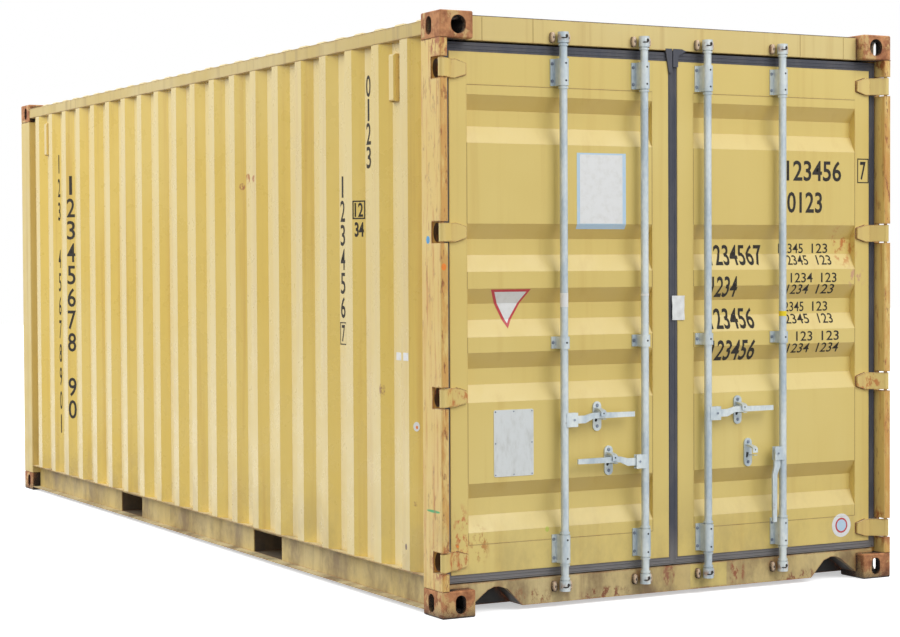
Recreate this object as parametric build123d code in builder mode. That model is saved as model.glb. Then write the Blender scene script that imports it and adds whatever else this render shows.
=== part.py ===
"""Twenty-foot dry freight container with two hinged doors, four locking bars and their handles.

Frame: origin at the bottom centre of the box, +X towards the doors, +Z up, millimetres.
Left is the -Y side and right is the +Y side, seen by a person who faces the doors.
"""

import os

from build123d import *

# Outer size of the standard box
LENGTH = 6058
WIDTH = 2438
HEIGHT = 2591
HALF_LENGTH = LENGTH / 2
HALF_WIDTH = WIDTH / 2

# Corner castings
CASTING_X = 178
CASTING_Y = 162
CASTING_Z = 118
CASTING_WALL = 28
CASTING_BACK = 12
SLOT_PITCH_X = LENGTH - 205
SLOT_PITCH_Y = WIDTH - 179
SLOT_LENGTH = 124.5
SLOT_WIDTH = 63.5
FACE_HOLE_WIDTH = 51
FACE_HOLE_HEIGHT = 79.5
UPPER_END_HOLE_WIDTH = 73
CASTING_ROUND = 8
INNER_END = HALF_LENGTH - CASTING_X
INNER_SIDE = HALF_WIDTH - CASTING_Y
TOP_CASTING_Z = HEIGHT - CASTING_Z

# Base
WALL_FACE = HALF_WIDTH - 5
RAIL_BOTTOM = 20
RAIL_TOP = 168
RAIL_PLATE = 5
RAIL_FLANGE = 49
WEB_FACE = WALL_FACE - RAIL_FLANGE
WEB_INSIDE = WEB_FACE - RAIL_PLATE
POCKET_X = 1025
POCKET_WIDTH = 360
POCKET_BOTTOM = 26
POCKET_TOP = 141
POCKET_PLATE = 4
STRAP_DEPTH = 200
MEMBER_BOTTOM = 23
MEMBER_FLANGE = 45
MEMBER_PLATE = 4
FIRST_OUTER_MEMBER = POCKET_X + POCKET_WIDTH / 2 + 145
LAST_MEMBER = INNER_END - 111
OUTER_MEMBERS = 6
MEMBER_STEP = (LAST_MEMBER - FIRST_OUTER_MEMBER) / (OUTER_MEMBERS - 1)
MEMBER_X = [140, 420, 700] + [FIRST_OUTER_MEMBER + MEMBER_STEP * count for count in range(OUTER_MEMBERS)]
FLOOR_BOTTOM = 145
FLOOR_TOP = 173
BOARD_GAP = 2
BOARD_ROWS = 5

# Walls and roof
SHEET = 2
RIB_PITCH = 282
RIB_FLAT = 74
RIB_SLOPE = 67
RIB_DEPTH = 36
TOP_RAIL_BOTTOM = HEIGHT - 93
TOP_RAIL_SIZE = 60
TOP_RAIL_PLATE = 3
ROOF_BOTTOM = TOP_RAIL_BOTTOM + TOP_RAIL_SIZE
ROOF_RIB_PITCH = 209
ROOF_RIB_COUNT = int(2 * INNER_END / ROOF_RIB_PITCH)
ROOF_RIB_BASE = 110
ROOF_RIB_LENGTH = WIDTH - 108
ROOF_RIB_HEIGHT = 23
VENT_X = 9 * RIB_PITCH
VENT_WIDTH = 60
VENT_TOP = TOP_RAIL_BOTTOM - 52
VENT_BOTTOM = VENT_TOP - 211
VENT_DEPTH = 26

# End frames
POST_WIDTH = 64
POST_WALL = 8
POST_TUBE_FRONT = HALF_LENGTH - 84
POST_INSIDE = HALF_WIDTH - POST_WIDTH
LIP_WIDTH = 37
LIP_WALL = 6
LIP_INSIDE = HALF_WIDTH - LIP_WIDTH
FRONT_POST_WIDTH = 90
BEAM_WALL = 6
DOOR_BEAM_FACE = HALF_LENGTH - 61
SILL_TOP = 135
SILL_STEP_X = DOOR_BEAM_FACE - 63
SILL_HOLLOW = INNER_SIDE - 277
HEADER_TOP = HEIGHT - 10
FRONT_BEAM_FACE = HALF_LENGTH - 14
# Outline of a sill notch: distance from the casting, height
NOTCH = [(0, 20), (0, 30), (92, 100), (122, 112), (150, 112), (192, 98), (267, 20)]

# Doors
LEAF_FACE = HALF_LENGTH - 67
LEAF_DEPTH = 50
LEAF_BACK = LEAF_FACE - LEAF_DEPTH
LEAF_BOTTOM = 175
LEAF_TOP = HEIGHT - 166
LEAF_OUTER = HALF_WIDTH - 78
LEAF_LEFT_INNER = 14
LEAF_RIGHT_INNER = 34
STILE_OUTER = 86
STILE_INNER = 89
LOWER_RAIL_TOP = 300
UPPER_RAIL_BOTTOM = LEAF_TOP - 140
TUBE_WALL = 3
# Sunk ribs from the top down, in shares of the panel's height
RECESSES = [
    (0.9788, 0.9461, 0.9108, 0.8741),
    (0.6992, 0.6660, 0.6312, 0.5945),
    (0.5577, 0.5249, 0.4897, 0.4519),
    (0.4181, 0.3834, 0.3481, 0.3098),
    (0.1335, 0.1003, 0.0625, 0.0262),
]
SEAL_GAP = 6
SEAL_FRONT = LEAF_FACE - 4
SEAL_BACK = SEAL_FRONT - 18
SEAL_BOTTOM = LEAF_BOTTOM - 35
SEAL_TOP = LEAF_TOP + 40
SEAL_OUTER = POST_INSIDE - SEAL_GAP
SEAL_LIP = LIP_INSIDE - SEAL_GAP
SEAL_LIP_BACK = POST_TUBE_FRONT + SEAL_GAP
SEAL_LEFT_INNER = 2.5
SEAL_RIGHT_INNER = 11.5
PLATE_Y = (213 - LEAF_OUTER, 412 - LEAF_OUTER)
PLATE_Z = (588, 879)

# Hinges
PIN_X = HALF_LENGTH - 18
PIN_Y = HALF_WIDTH - 17
PIN_RADIUS = 8
PIN_CLEARANCE = 0.5
KNUCKLE_RADIUS = 15
HINGE_LEVELS = [238, 943, 1650, HEIGHT - 241]
BLADE_HALF = 40
BLADE_END_HALF = 24
BLADE_PLATE = 12
BLADE_TAPER_Y = LEAF_OUTER - 27
BLADE_END_Y = LEAF_OUTER - 79
BLADE_SLANT = 10
LUG_GAP = 6
LUG_PLATE = 12
LUG_OPENING = BLADE_HALF + LUG_GAP
LUG_HALF = LUG_OPENING + LUG_PLATE

# Locking gear
BAR_X = HALF_LENGTH - 24
BAR_Y = [-595, -172, 172, 595]
BAR_RADIUS = 17.5
BAR_CLEARANCE = 0.5
BRACKET_PLATE = 6
BRACKET_WING = 43
BRACKET_FOOT = 30
BRACKET_LEVELS = [(196, 320), (1140, 1193), (HEIGHT - 299, HEIGHT - 181)]
CAM_RADIUS = 24
CAM_REACH = 24
CAM_WIDTH = 22
CAM_LOW = (72, 118)
CAM_HIGH = (HEIGHT - 112, HEIGHT - 65)
COLLAR_RADIUS = 22
COLLAR_HEIGHT = 8
COLLAR_GAP = 5
# Lower ends of the collars: round the low strap, under the top strap, and next to both cams
COLLARS = [
    CAM_LOW[1] + COLLAR_GAP,
    BRACKET_LEVELS[0][0] - COLLAR_GAP - COLLAR_HEIGHT,
    BRACKET_LEVELS[0][1] + COLLAR_GAP,
    BRACKET_LEVELS[2][0] - COLLAR_GAP - COLLAR_HEIGHT,
    CAM_HIGH[0] - COLLAR_GAP - COLLAR_HEIGHT,
]
KEEPER_INNER = 27
KEEPER_OUTER = 50
KEEPER_DEPTH = 22
KEEPER_HALF = 24
KEEPER_LOW = 92
KEEPER_HIGH = HEIGHT - 88

# Handles, one entry for each bar: side of the bar that the hub is on, height of the pivot
HUB_SIDES = [1, -1, 1, -1]
PIVOT_LEVELS = [826, 626, 826, 626]
HANGING = 3
PIVOT_OFFSET = 40
HANDLE_BACK = BAR_X + 3
HANDLE_PLATE = 10
HANDLE_HALF = 17
HANDLE_TIP_HALF = 11
HANDLE_TIP_GAP = 45.5
HANDLE_LENGTH = BAR_Y[1] - BAR_Y[0] - PIVOT_OFFSET - BAR_RADIUS - HANDLE_TIP_GAP
HANDLE_RISE = 14
HANDLE_EYE = 17
HANDLE_PIN = 6
HUB_HALF = 31
HUB_REACH = 58
HUB_WEB = 19
HUB_PLATE = 5
HUB_GAP = 2
CATCH_OFFSET = [168, -198, 168, -194]
CATCH_WIDTH = 42
CATCH_HEIGHT = 130
CATCH_PLATE = 5
CATCH_RISE = 8
SHELF_FRONT = HANDLE_BACK + HANDLE_PLATE + 4
SHELF_HALF = 13
SHELF_HEIGHT = 7
SHELF_GAP = 5
LEVER_PLATE = 4
LEVER_HALF = 9
LEVER_LENGTH = 40


def save(part, label):
    """Give a finished part its name and write its STEP file."""
    part.label = label
    export_step(part, f"parts/{label}.step")


def block(x, y, z, mode=Mode.ADD):
    """Add or cut a box that spans the given x, y and z ranges."""
    with Locations(((x[0] + x[1]) / 2, (y[0] + y[1]) / 2, (z[0] + z[1]) / 2)):
        Box(abs(x[1] - x[0]), abs(y[1] - y[0]), abs(z[1] - z[0]), mode=mode)


def side_range(side, low, high):
    """Return the y range between two distances from the centre line, on one side."""
    return (side * low, side * high)


def wave(start, end, phase):
    """Return (distance, depth) points of the rib profile between two stations."""
    points = []
    station = phase - RIB_PITCH * 20
    half = RIB_FLAT / 2
    while station < end + RIB_PITCH:
        points.append((station - half, 0))
        points.append((station + half, 0))
        points.append((station + half + RIB_SLOPE, RIB_DEPTH))
        points.append((station - half + RIB_PITCH - RIB_SLOPE, RIB_DEPTH))
        station = station + RIB_PITCH
    inside = [point for point in points if start < point[0] < end]
    return [(start, depth_at(points, start))] + inside + [(end, depth_at(points, end))]


def depth_at(points, station):
    """Interpolate the depth of a profile at one station."""
    for first, second in zip(points, points[1:]):
        if first[0] <= station <= second[0]:
            share = (station - first[0]) / (second[0] - first[0])
            return first[1] + share * (second[1] - first[1])
    return 0


def corner_castings(label, outer, inward, end_hole_width):
    """Four hollow castings at one level; outer is the height of their locking face."""
    centre_x = HALF_LENGTH - CASTING_X / 2
    centre_y = HALF_WIDTH - CASTING_Y / 2
    slot_x = SLOT_PITCH_X / 2
    slot_y = SLOT_PITCH_Y / 2
    middle = outer + inward * CASTING_Z / 2
    with BuildPart() as castings:
        with Locations((centre_x, centre_y, middle)):
            Box(CASTING_X, CASTING_Y, CASTING_Z)
        fillet(castings.edges(), CASTING_ROUND)
        block(
            (INNER_END + CASTING_BACK, HALF_LENGTH - CASTING_WALL),
            (INNER_SIDE + CASTING_BACK, HALF_WIDTH - CASTING_WALL),
            (outer + inward * CASTING_WALL, outer + inward * (CASTING_Z - CASTING_BACK)),
            Mode.SUBTRACT,
        )
        with BuildSketch(Plane.XY.offset(outer)):
            with Locations((slot_x, slot_y)):
                SlotOverall(SLOT_LENGTH, SLOT_WIDTH)
        extrude(amount=inward * (CASTING_WALL + 1), mode=Mode.SUBTRACT)
        with BuildSketch(Plane.YZ.offset(HALF_LENGTH)):
            with Locations((slot_y, middle)):
                SlotOverall(FACE_HOLE_HEIGHT, end_hole_width, rotation=90)
        extrude(amount=-CASTING_WALL - 1, mode=Mode.SUBTRACT)
        with BuildSketch(Plane.XZ.offset(-HALF_WIDTH)):
            with Locations((slot_x, middle)):
                SlotOverall(FACE_HOLE_HEIGHT, FACE_HOLE_WIDTH, rotation=90)
        extrude(amount=CASTING_WALL + 1, mode=Mode.SUBTRACT)
        mirror(about=Plane.XZ)
        mirror(about=Plane.YZ)
    save(castings.part, label)


def bottom_rail(label, side):
    """Channel open to the outside, with two mouths for the fork pockets."""
    ends = (-INNER_END, INNER_END)
    with BuildPart() as rail:
        block(ends, side_range(side, WEB_INSIDE, WEB_FACE), (RAIL_BOTTOM, RAIL_TOP))
        block(ends, side_range(side, WEB_FACE, WALL_FACE), (RAIL_TOP - RAIL_PLATE, RAIL_TOP))
        block(ends, side_range(side, WEB_FACE, WALL_FACE), (RAIL_BOTTOM, RAIL_BOTTOM + RAIL_PLATE))
        for centre in (-POCKET_X, POCKET_X):
            block(
                (centre - POCKET_WIDTH / 2, centre + POCKET_WIDTH / 2),
                side_range(side, WEB_INSIDE - 1, WEB_FACE + 1),
                (POCKET_BOTTOM, POCKET_TOP),
                Mode.SUBTRACT,
            )
    save(rail.part, label)


def cross_members():
    """Channels that carry the floor between the bottom rails."""
    with BuildPart() as members:
        for station in MEMBER_X:
            for side in (-1, 1):
                web = (side * station, side * (station + MEMBER_PLATE))
                flange = (side * station, side * (station + MEMBER_FLANGE))
                across = (-WEB_INSIDE, WEB_INSIDE)
                block(web, across, (MEMBER_BOTTOM, FLOOR_BOTTOM))
                block(flange, across, (FLOOR_BOTTOM - MEMBER_PLATE, FLOOR_BOTTOM))
                block(flange, across, (MEMBER_BOTTOM, MEMBER_BOTTOM + MEMBER_PLATE))
    save(members.part, "cross_members")


def forklift_pockets():
    """Two tunnels across the base, with a strap under each mouth."""
    half = POCKET_WIDTH / 2
    across = (-WEB_INSIDE, WEB_INSIDE)
    with BuildPart() as pockets:
        for centre in (-POCKET_X, POCKET_X):
            outer = (centre - half - POCKET_PLATE, centre + half + POCKET_PLATE)
            block(outer, across, (POCKET_TOP, FLOOR_BOTTOM))
            block((outer[0], outer[0] + POCKET_PLATE), across, (RAIL_BOTTOM, FLOOR_BOTTOM))
            block((outer[1] - POCKET_PLATE, outer[1]), across, (RAIL_BOTTOM, FLOOR_BOTTOM))
            for side in (-1, 1):
                strap = side_range(side, WEB_INSIDE - STRAP_DEPTH, WEB_INSIDE)
                block(outer, strap, (RAIL_BOTTOM, POCKET_BOTTOM))
    save(pockets.part, "forklift_pockets")


def floor_boards():
    """Plywood boards in two columns, and one cross board behind the blind end."""
    length = (2 * INNER_END - BOARD_GAP) / BOARD_ROWS
    width = WEB_INSIDE - BOARD_GAP
    thickness = FLOOR_TOP - FLOOR_BOTTOM
    with BuildPart() as boards:
        with Locations((0, 0, FLOOR_BOTTOM + thickness / 2)):
            with GridLocations(length, width, BOARD_ROWS, 2):
                Box(length - BOARD_GAP, width - BOARD_GAP, thickness)
        end_half = HALF_WIDTH - FRONT_POST_WIDTH - BOARD_GAP
        end_front = FRONT_BEAM_FACE - RIB_DEPTH - SHEET - BOARD_GAP
        block((-end_front, -INNER_END - BOARD_GAP), (-end_half, end_half), (FLOOR_BOTTOM, FLOOR_TOP))
    save(boards.part, "floor_boards")


def door_sill():
    """Hollow sill with an arched notch beside each casting and a raised threshold."""
    inner = (INNER_END + BEAM_WALL, DOOR_BEAM_FACE - BEAM_WALL)
    with BuildPart() as sill:
        block((INNER_END, DOOR_BEAM_FACE), (-INNER_SIDE, INNER_SIDE), (RAIL_BOTTOM, SILL_TOP))
        block((INNER_END, DOOR_BEAM_FACE), (-POST_INSIDE, POST_INSIDE), (CASTING_Z, SILL_TOP))
        block((INNER_END, SILL_STEP_X), (-POST_INSIDE, POST_INSIDE), (CASTING_Z, FLOOR_TOP))
        hollow = (-SILL_HOLLOW, SILL_HOLLOW)
        block(inner, hollow, (RAIL_BOTTOM + BEAM_WALL, SILL_TOP - BEAM_WALL), Mode.SUBTRACT)
        block(
            (INNER_END + BEAM_WALL, SILL_STEP_X - BEAM_WALL),
            hollow,
            (SILL_TOP - BEAM_WALL - 1, FLOOR_TOP - BEAM_WALL),
            Mode.SUBTRACT,
        )
        for side in (-1, 1):
            with BuildSketch(Plane.YZ.offset(INNER_END + BEAM_WALL)):
                Polygon(*[(side * (INNER_SIDE - away), z) for away, z in NOTCH], align=None)
            extrude(amount=DOOR_BEAM_FACE - INNER_END, mode=Mode.SUBTRACT)
    save(sill.part, "door_sill")


def beam(label, x, z):
    """Hollow cross beam between two castings."""
    with BuildPart() as tube:
        block(x, (-INNER_SIDE, INNER_SIDE), z)
        fillet(tube.edges().filter_by(Axis.Y), 4)
        block(
            (x[0] + BEAM_WALL, x[1] - BEAM_WALL),
            (-INNER_SIDE - 1, INNER_SIDE + 1),
            (z[0] + BEAM_WALL, z[1] - BEAM_WALL),
            Mode.SUBTRACT,
        )
    save(tube.part, label)


def door_post(label, side):
    """Corner post: a rear tube and a narrower front tube that is cut away at each hinge."""
    rear = side_range(side, POST_INSIDE, HALF_WIDTH)
    rear_hollow = side_range(side, POST_INSIDE + POST_WALL, HALF_WIDTH - POST_WALL)
    lip = side_range(side, LIP_INSIDE, HALF_WIDTH)
    lip_hollow = side_range(side, LIP_INSIDE + LIP_WALL, HALF_WIDTH - LIP_WALL)
    z = (CASTING_Z, TOP_CASTING_Z)
    through = (CASTING_Z - 1, TOP_CASTING_Z + 1)
    with BuildPart() as post:
        block((INNER_END, POST_TUBE_FRONT), rear, z)
        block((POST_TUBE_FRONT, HALF_LENGTH), lip, z)
        fillet(post.edges().filter_by(Axis.Z).group_by(Axis.X)[0], 7)
        fillet(post.edges().filter_by(Axis.Z).group_by(Axis.X)[-1], 7)
        block((INNER_END + POST_WALL, POST_TUBE_FRONT - POST_WALL), rear_hollow, through, Mode.SUBTRACT)
        block((POST_TUBE_FRONT, HALF_LENGTH - LIP_WALL), lip_hollow, through, Mode.SUBTRACT)
        for level in HINGE_LEVELS:
            block(
                (POST_TUBE_FRONT, HALF_LENGTH + 1),
                side_range(side, LIP_INSIDE - 1, HALF_WIDTH + 1),
                (level - LUG_OPENING, level + LUG_OPENING),
                Mode.SUBTRACT,
            )
    save(post.part, label)


def front_post(label, side):
    """Corner post of the blind end."""
    y = side_range(side, HALF_WIDTH - FRONT_POST_WIDTH, HALF_WIDTH)
    inner = side_range(side, HALF_WIDTH - FRONT_POST_WIDTH + BEAM_WALL, HALF_WIDTH - BEAM_WALL)
    with BuildPart() as post:
        block((-HALF_LENGTH, -INNER_END), y, (CASTING_Z, TOP_CASTING_Z))
        fillet(post.edges().filter_by(Axis.Z), 7)
        block(
            (-HALF_LENGTH + BEAM_WALL, -INNER_END - BEAM_WALL),
            inner,
            (CASTING_Z - 1, TOP_CASTING_Z + 1),
            Mode.SUBTRACT,
        )
    save(post.part, label)


def front_wall():
    """Ribbed sheet that closes the blind end."""
    edge = HALF_WIDTH - FRONT_POST_WIDTH
    profile = wave(-edge, edge, 0)
    outer = [(-FRONT_BEAM_FACE + depth, y) for y, depth in profile]
    inner = [(x + SHEET, y) for x, y in reversed(outer)]
    with BuildPart() as wall:
        with BuildSketch(Plane.XY.offset(FLOOR_BOTTOM)):
            Polygon(*(outer + inner), align=None)
        extrude(amount=TOP_CASTING_Z - FLOOR_BOTTOM)
    save(wall.part, "front_wall")


def side_wall(label, side):
    """Ribbed sheet between the bottom rail and the top rail."""
    profile = wave(-INNER_END, INNER_END, RIB_PITCH / 2)
    outer = [(x, side * (WALL_FACE - depth)) for x, depth in profile]
    inner = [(x, y - side * SHEET) for x, y in reversed(outer)]
    with BuildPart() as wall:
        with BuildSketch(Plane.XY.offset(RAIL_TOP)):
            Polygon(*(outer + inner), align=None)
        extrude(amount=TOP_RAIL_BOTTOM - RAIL_TOP)
    save(wall.part, label)


def top_rail(label, side):
    """Square tube along the top of a side wall."""
    y = side_range(side, WALL_FACE - TOP_RAIL_SIZE, WALL_FACE)
    inner = side_range(side, WALL_FACE - TOP_RAIL_SIZE + TOP_RAIL_PLATE, WALL_FACE - TOP_RAIL_PLATE)
    with BuildPart() as rail:
        block((-INNER_END, INNER_END), y, (TOP_RAIL_BOTTOM, ROOF_BOTTOM))
        fillet(rail.edges().filter_by(Axis.X), 5)
        block(
            (-INNER_END - 1, INNER_END + 1),
            inner,
            (TOP_RAIL_BOTTOM + TOP_RAIL_PLATE, ROOF_BOTTOM - TOP_RAIL_PLATE),
            Mode.SUBTRACT,
        )
    save(rail.part, label)


def roof_panel():
    """Thin sheet with raised pans across it."""
    with BuildPart() as roof:
        block((-INNER_END, INNER_END), (-WALL_FACE, WALL_FACE), (ROOF_BOTTOM, ROOF_BOTTOM + SHEET))
        with BuildSketch(Plane.XY.offset(ROOF_BOTTOM + SHEET)):
            with GridLocations(ROOF_RIB_PITCH, 0, ROOF_RIB_COUNT, 1):
                Rectangle(ROOF_RIB_BASE, ROOF_RIB_LENGTH)
        extrude(amount=ROOF_RIB_HEIGHT, taper=40)
        with BuildSketch(Plane.XY.offset(ROOF_BOTTOM)):
            with GridLocations(ROOF_RIB_PITCH, 0, ROOF_RIB_COUNT, 1):
                Rectangle(ROOF_RIB_BASE - 1, ROOF_RIB_LENGTH - 1)
        extrude(amount=ROOF_RIB_HEIGHT, taper=40, mode=Mode.SUBTRACT)
    save(roof.part, "roof_panel")


def side_vents():
    """Weather covers over the vent holes, two on each wall."""
    back = WALL_FACE - RIB_DEPTH
    with BuildPart() as vents:
        across = (VENT_X - VENT_WIDTH / 2, VENT_X + VENT_WIDTH / 2)
        block(across, (back, back + VENT_DEPTH), (VENT_BOTTOM, VENT_TOP))
        outer = vents.faces().sort_by(Axis.Y)[-1]
        chamfer(outer.edges(), 8)
        block(
            (VENT_X - VENT_WIDTH / 2 + 4, VENT_X + VENT_WIDTH / 2 - 4),
            (back + 2, back + VENT_DEPTH - 6),
            (VENT_BOTTOM - 1, VENT_TOP - 10),
            Mode.SUBTRACT,
        )
        mirror(about=Plane.XZ)
        mirror(about=Plane.YZ)
    save(vents.part, "side_vents")


def hinge_lugs(label, side):
    """Pairs of lug plates inside a post, above and below each cut-out, with a pin through each pair."""
    y = side_range(side, LIP_INSIDE + LIP_WALL, HALF_WIDTH - LIP_WALL)
    with BuildPart() as lugs:
        for level in HINGE_LEVELS:
            for low in (level - LUG_HALF, level + LUG_OPENING):
                block((POST_TUBE_FRONT, HALF_LENGTH - LIP_WALL), y, (low, low + LUG_PLATE))
            with Locations((PIN_X, side * PIN_Y, level)):
                Cylinder(PIN_RADIUS, 2 * LUG_HALF)
    save(lugs.part, label)


def hinge_blades(label, side):
    """Blades that run from the hinge pins on to the face of a door."""
    outline = [
        (LEAF_FACE, BLADE_END_Y),
        (LEAF_FACE + BLADE_PLATE, BLADE_END_Y),
        (LEAF_FACE + BLADE_PLATE, LEAF_OUTER - 5),
        (PIN_X + BLADE_SLANT, PIN_Y - BLADE_SLANT),
        (PIN_X - BLADE_SLANT, PIN_Y + BLADE_SLANT),
        (LEAF_FACE, LEAF_OUTER + 5),
    ]
    tongue = [
        (side * (BLADE_END_Y - 1), -BLADE_END_HALF),
        (side * BLADE_TAPER_Y, -BLADE_HALF),
        (side * HALF_WIDTH, -BLADE_HALF),
        (side * HALF_WIDTH, BLADE_HALF),
        (side * BLADE_TAPER_Y, BLADE_HALF),
        (side * (BLADE_END_Y - 1), BLADE_END_HALF),
    ]
    with BuildPart() as blades:
        for level in HINGE_LEVELS:
            with BuildSketch(Plane.XY.offset(level - BLADE_HALF)):
                Polygon(*[(x, side * y) for x, y in outline], align=None)
                with Locations((PIN_X, side * PIN_Y)):
                    Circle(KNUCKLE_RADIUS)
                    Circle(PIN_RADIUS + PIN_CLEARANCE, mode=Mode.SUBTRACT)
            extrude(amount=2 * BLADE_HALF)
        with BuildSketch(Plane.YZ.offset(LEAF_BACK)):
            with Locations(*[(0, level) for level in HINGE_LEVELS]):
                Polygon(*tongue, align=None)
        extrude(amount=2 * KNUCKLE_RADIUS + HALF_LENGTH - LEAF_BACK, mode=Mode.INTERSECT)
    save(blades.part, label)


def cam_keepers():
    """Rounded keeper lugs on the header and the sill, one each side of every cam."""
    middle = (KEEPER_INNER + KEEPER_OUTER) / 2
    width = KEEPER_OUTER - KEEPER_INNER
    with BuildPart() as keepers:
        with BuildSketch(Plane.YZ.offset(DOOR_BEAM_FACE)):
            for bar in BAR_Y:
                for level in (KEEPER_LOW, KEEPER_HIGH):
                    with Locations((bar - middle, level), (bar + middle, level)):
                        RectangleRounded(width, 2 * KEEPER_HALF, 9)
        extrude(amount=KEEPER_DEPTH)
        fillet(keepers.edges().group_by(Axis.X)[-1], 6)
    save(keepers.part, "cam_keepers")


def leaf_range(side):
    """Return the outer and inner y of a door leaf."""
    if side < 0:
        return (-LEAF_OUTER, -LEAF_LEFT_INNER)
    return (LEAF_OUTER, LEAF_RIGHT_INNER)


def door_frame(label, side):
    """Welded frame of four tubes round a door panel."""
    outer, inner = leaf_range(side)
    x = (LEAF_BACK, LEAF_FACE)
    hollow = (LEAF_BACK + TUBE_WALL, LEAF_FACE - TUBE_WALL)
    opening = (outer - side * STILE_OUTER, inner + side * STILE_INNER)
    with BuildPart() as frame:
        block(x, (outer, inner), (LEAF_BOTTOM, LEAF_TOP))
        fillet(frame.edges().filter_by(Axis.Z).group_by(Axis.X)[-1], 3)
        block((LEAF_BACK - 1, LEAF_FACE + 1), opening, (LOWER_RAIL_TOP, UPPER_RAIL_BOTTOM), Mode.SUBTRACT)
        inside = (LEAF_BOTTOM + TUBE_WALL, LEAF_TOP - TUBE_WALL)
        block(hollow, (outer - side * TUBE_WALL, opening[0] + side * TUBE_WALL), inside, Mode.SUBTRACT)
        block(hollow, (inner + side * TUBE_WALL, opening[1] - side * TUBE_WALL), inside, Mode.SUBTRACT)
        block(hollow, opening, (LEAF_BOTTOM + TUBE_WALL, LOWER_RAIL_TOP - TUBE_WALL), Mode.SUBTRACT)
        block(hollow, opening, (UPPER_RAIL_BOTTOM + TUBE_WALL, LEAF_TOP - TUBE_WALL), Mode.SUBTRACT)
    save(frame.part, label)


def door_panel(label, side):
    """Pressed sheet with five sunk ribs across it."""
    outer, inner = leaf_range(side)
    edges = sorted((outer - side * STILE_OUTER, inner + side * STILE_INNER))
    rise = UPPER_RAIL_BOTTOM - LOWER_RAIL_TOP
    face = [(LEAF_FACE, UPPER_RAIL_BOTTOM)]
    for top, inner_top, inner_bottom, bottom in RECESSES:
        face.append((LEAF_FACE, LOWER_RAIL_TOP + top * rise))
        face.append((LEAF_FACE - RIB_DEPTH, LOWER_RAIL_TOP + inner_top * rise))
        face.append((LEAF_FACE - RIB_DEPTH, LOWER_RAIL_TOP + inner_bottom * rise))
        face.append((LEAF_FACE, LOWER_RAIL_TOP + bottom * rise))
    face.append((LEAF_FACE, LOWER_RAIL_TOP))
    back = [(x - SHEET, z) for x, z in reversed(face)]
    with BuildPart() as panel:
        with BuildSketch(Plane.XZ.offset(-edges[1])):
            Polygon(*(face + back), align=None)
        extrude(amount=edges[1] - edges[0])
    save(panel.part, label)


def door_gasket(label, side):
    """Rubber seal round the four edges of a door, with a thin lip in front of the post."""
    outer, inner = leaf_range(side)
    seal_inner = SEAL_RIGHT_INNER
    if side < 0:
        seal_inner = SEAL_LEFT_INNER
    with BuildPart() as gasket:
        block((SEAL_BACK, SEAL_FRONT), (side * SEAL_OUTER, seal_inner), (SEAL_BOTTOM, SEAL_TOP))
        block((SEAL_LIP_BACK, SEAL_FRONT), side_range(side, SEAL_OUTER, SEAL_LIP), (SEAL_BOTTOM, SEAL_TOP))
        block((SEAL_BACK - 1, SEAL_FRONT + 1), (outer, inner), (LEAF_BOTTOM, LEAF_TOP), Mode.SUBTRACT)
    save(gasket.part, label)


def bar_brackets(label, bars):
    """Straps that hold the bars of one door, three on each bar."""
    outer = BAR_RADIUS + BAR_CLEARANCE + BRACKET_PLATE
    inner = BAR_RADIUS + BAR_CLEARANCE
    with BuildPart() as brackets:
        for bar in bars:
            for low, high in BRACKET_LEVELS:
                with BuildSketch(Plane.XY.offset(low)):
                    with Locations((BAR_X, bar)):
                        Circle(outer)
                    with Locations(((LEAF_FACE + BAR_X) / 2, bar)):
                        Rectangle(BAR_X - LEAF_FACE, 2 * outer)
                    with Locations((BAR_X, bar)):
                        Circle(inner, mode=Mode.SUBTRACT)
                    with Locations(((LEAF_FACE + BAR_X) / 2, bar)):
                        Rectangle(BAR_X - LEAF_FACE, 2 * inner, mode=Mode.SUBTRACT)
                    with Locations((LEAF_FACE + BRACKET_PLATE / 2, bar + (BRACKET_FOOT - BRACKET_WING) / 2)):
                        Rectangle(BRACKET_PLATE, BRACKET_FOOT + BRACKET_WING)
                extrude(amount=high - low)
    save(brackets.part, label)


def handle_catches(label, indexes):
    """Oval plates with a shelf under each handle and a lever that hangs from the shelf."""
    with BuildPart() as catches:
        for index in indexes:
            pivot = PIVOT_LEVELS[index]
            y = BAR_Y[index] + CATCH_OFFSET[index]
            middle = pivot + CATCH_RISE
            top = pivot + HANDLE_RISE - HANDLE_HALF - SHELF_GAP
            with BuildSketch(Plane.YZ.offset(LEAF_FACE)):
                with Locations((y, middle)):
                    SlotOverall(CATCH_HEIGHT, CATCH_WIDTH, rotation=90)
            extrude(amount=CATCH_PLATE)
            block((LEAF_FACE, SHELF_FRONT), (y - SHELF_HALF, y + SHELF_HALF), (top - SHELF_HEIGHT, top))
            block(
                (SHELF_FRONT, SHELF_FRONT + LEVER_PLATE),
                (y - LEVER_HALF, y + LEVER_HALF),
                (top - LEVER_LENGTH, top),
            )
    save(catches.part, label)


def data_plate():
    """Blank riveted plate on the left door."""
    with BuildPart() as plate:
        block((LEAF_FACE, LEAF_FACE + 2), PLATE_Y, PLATE_Z)
        fillet(plate.edges().filter_by(Axis.X), 8)
    save(plate.part, "data_plate")


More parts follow.
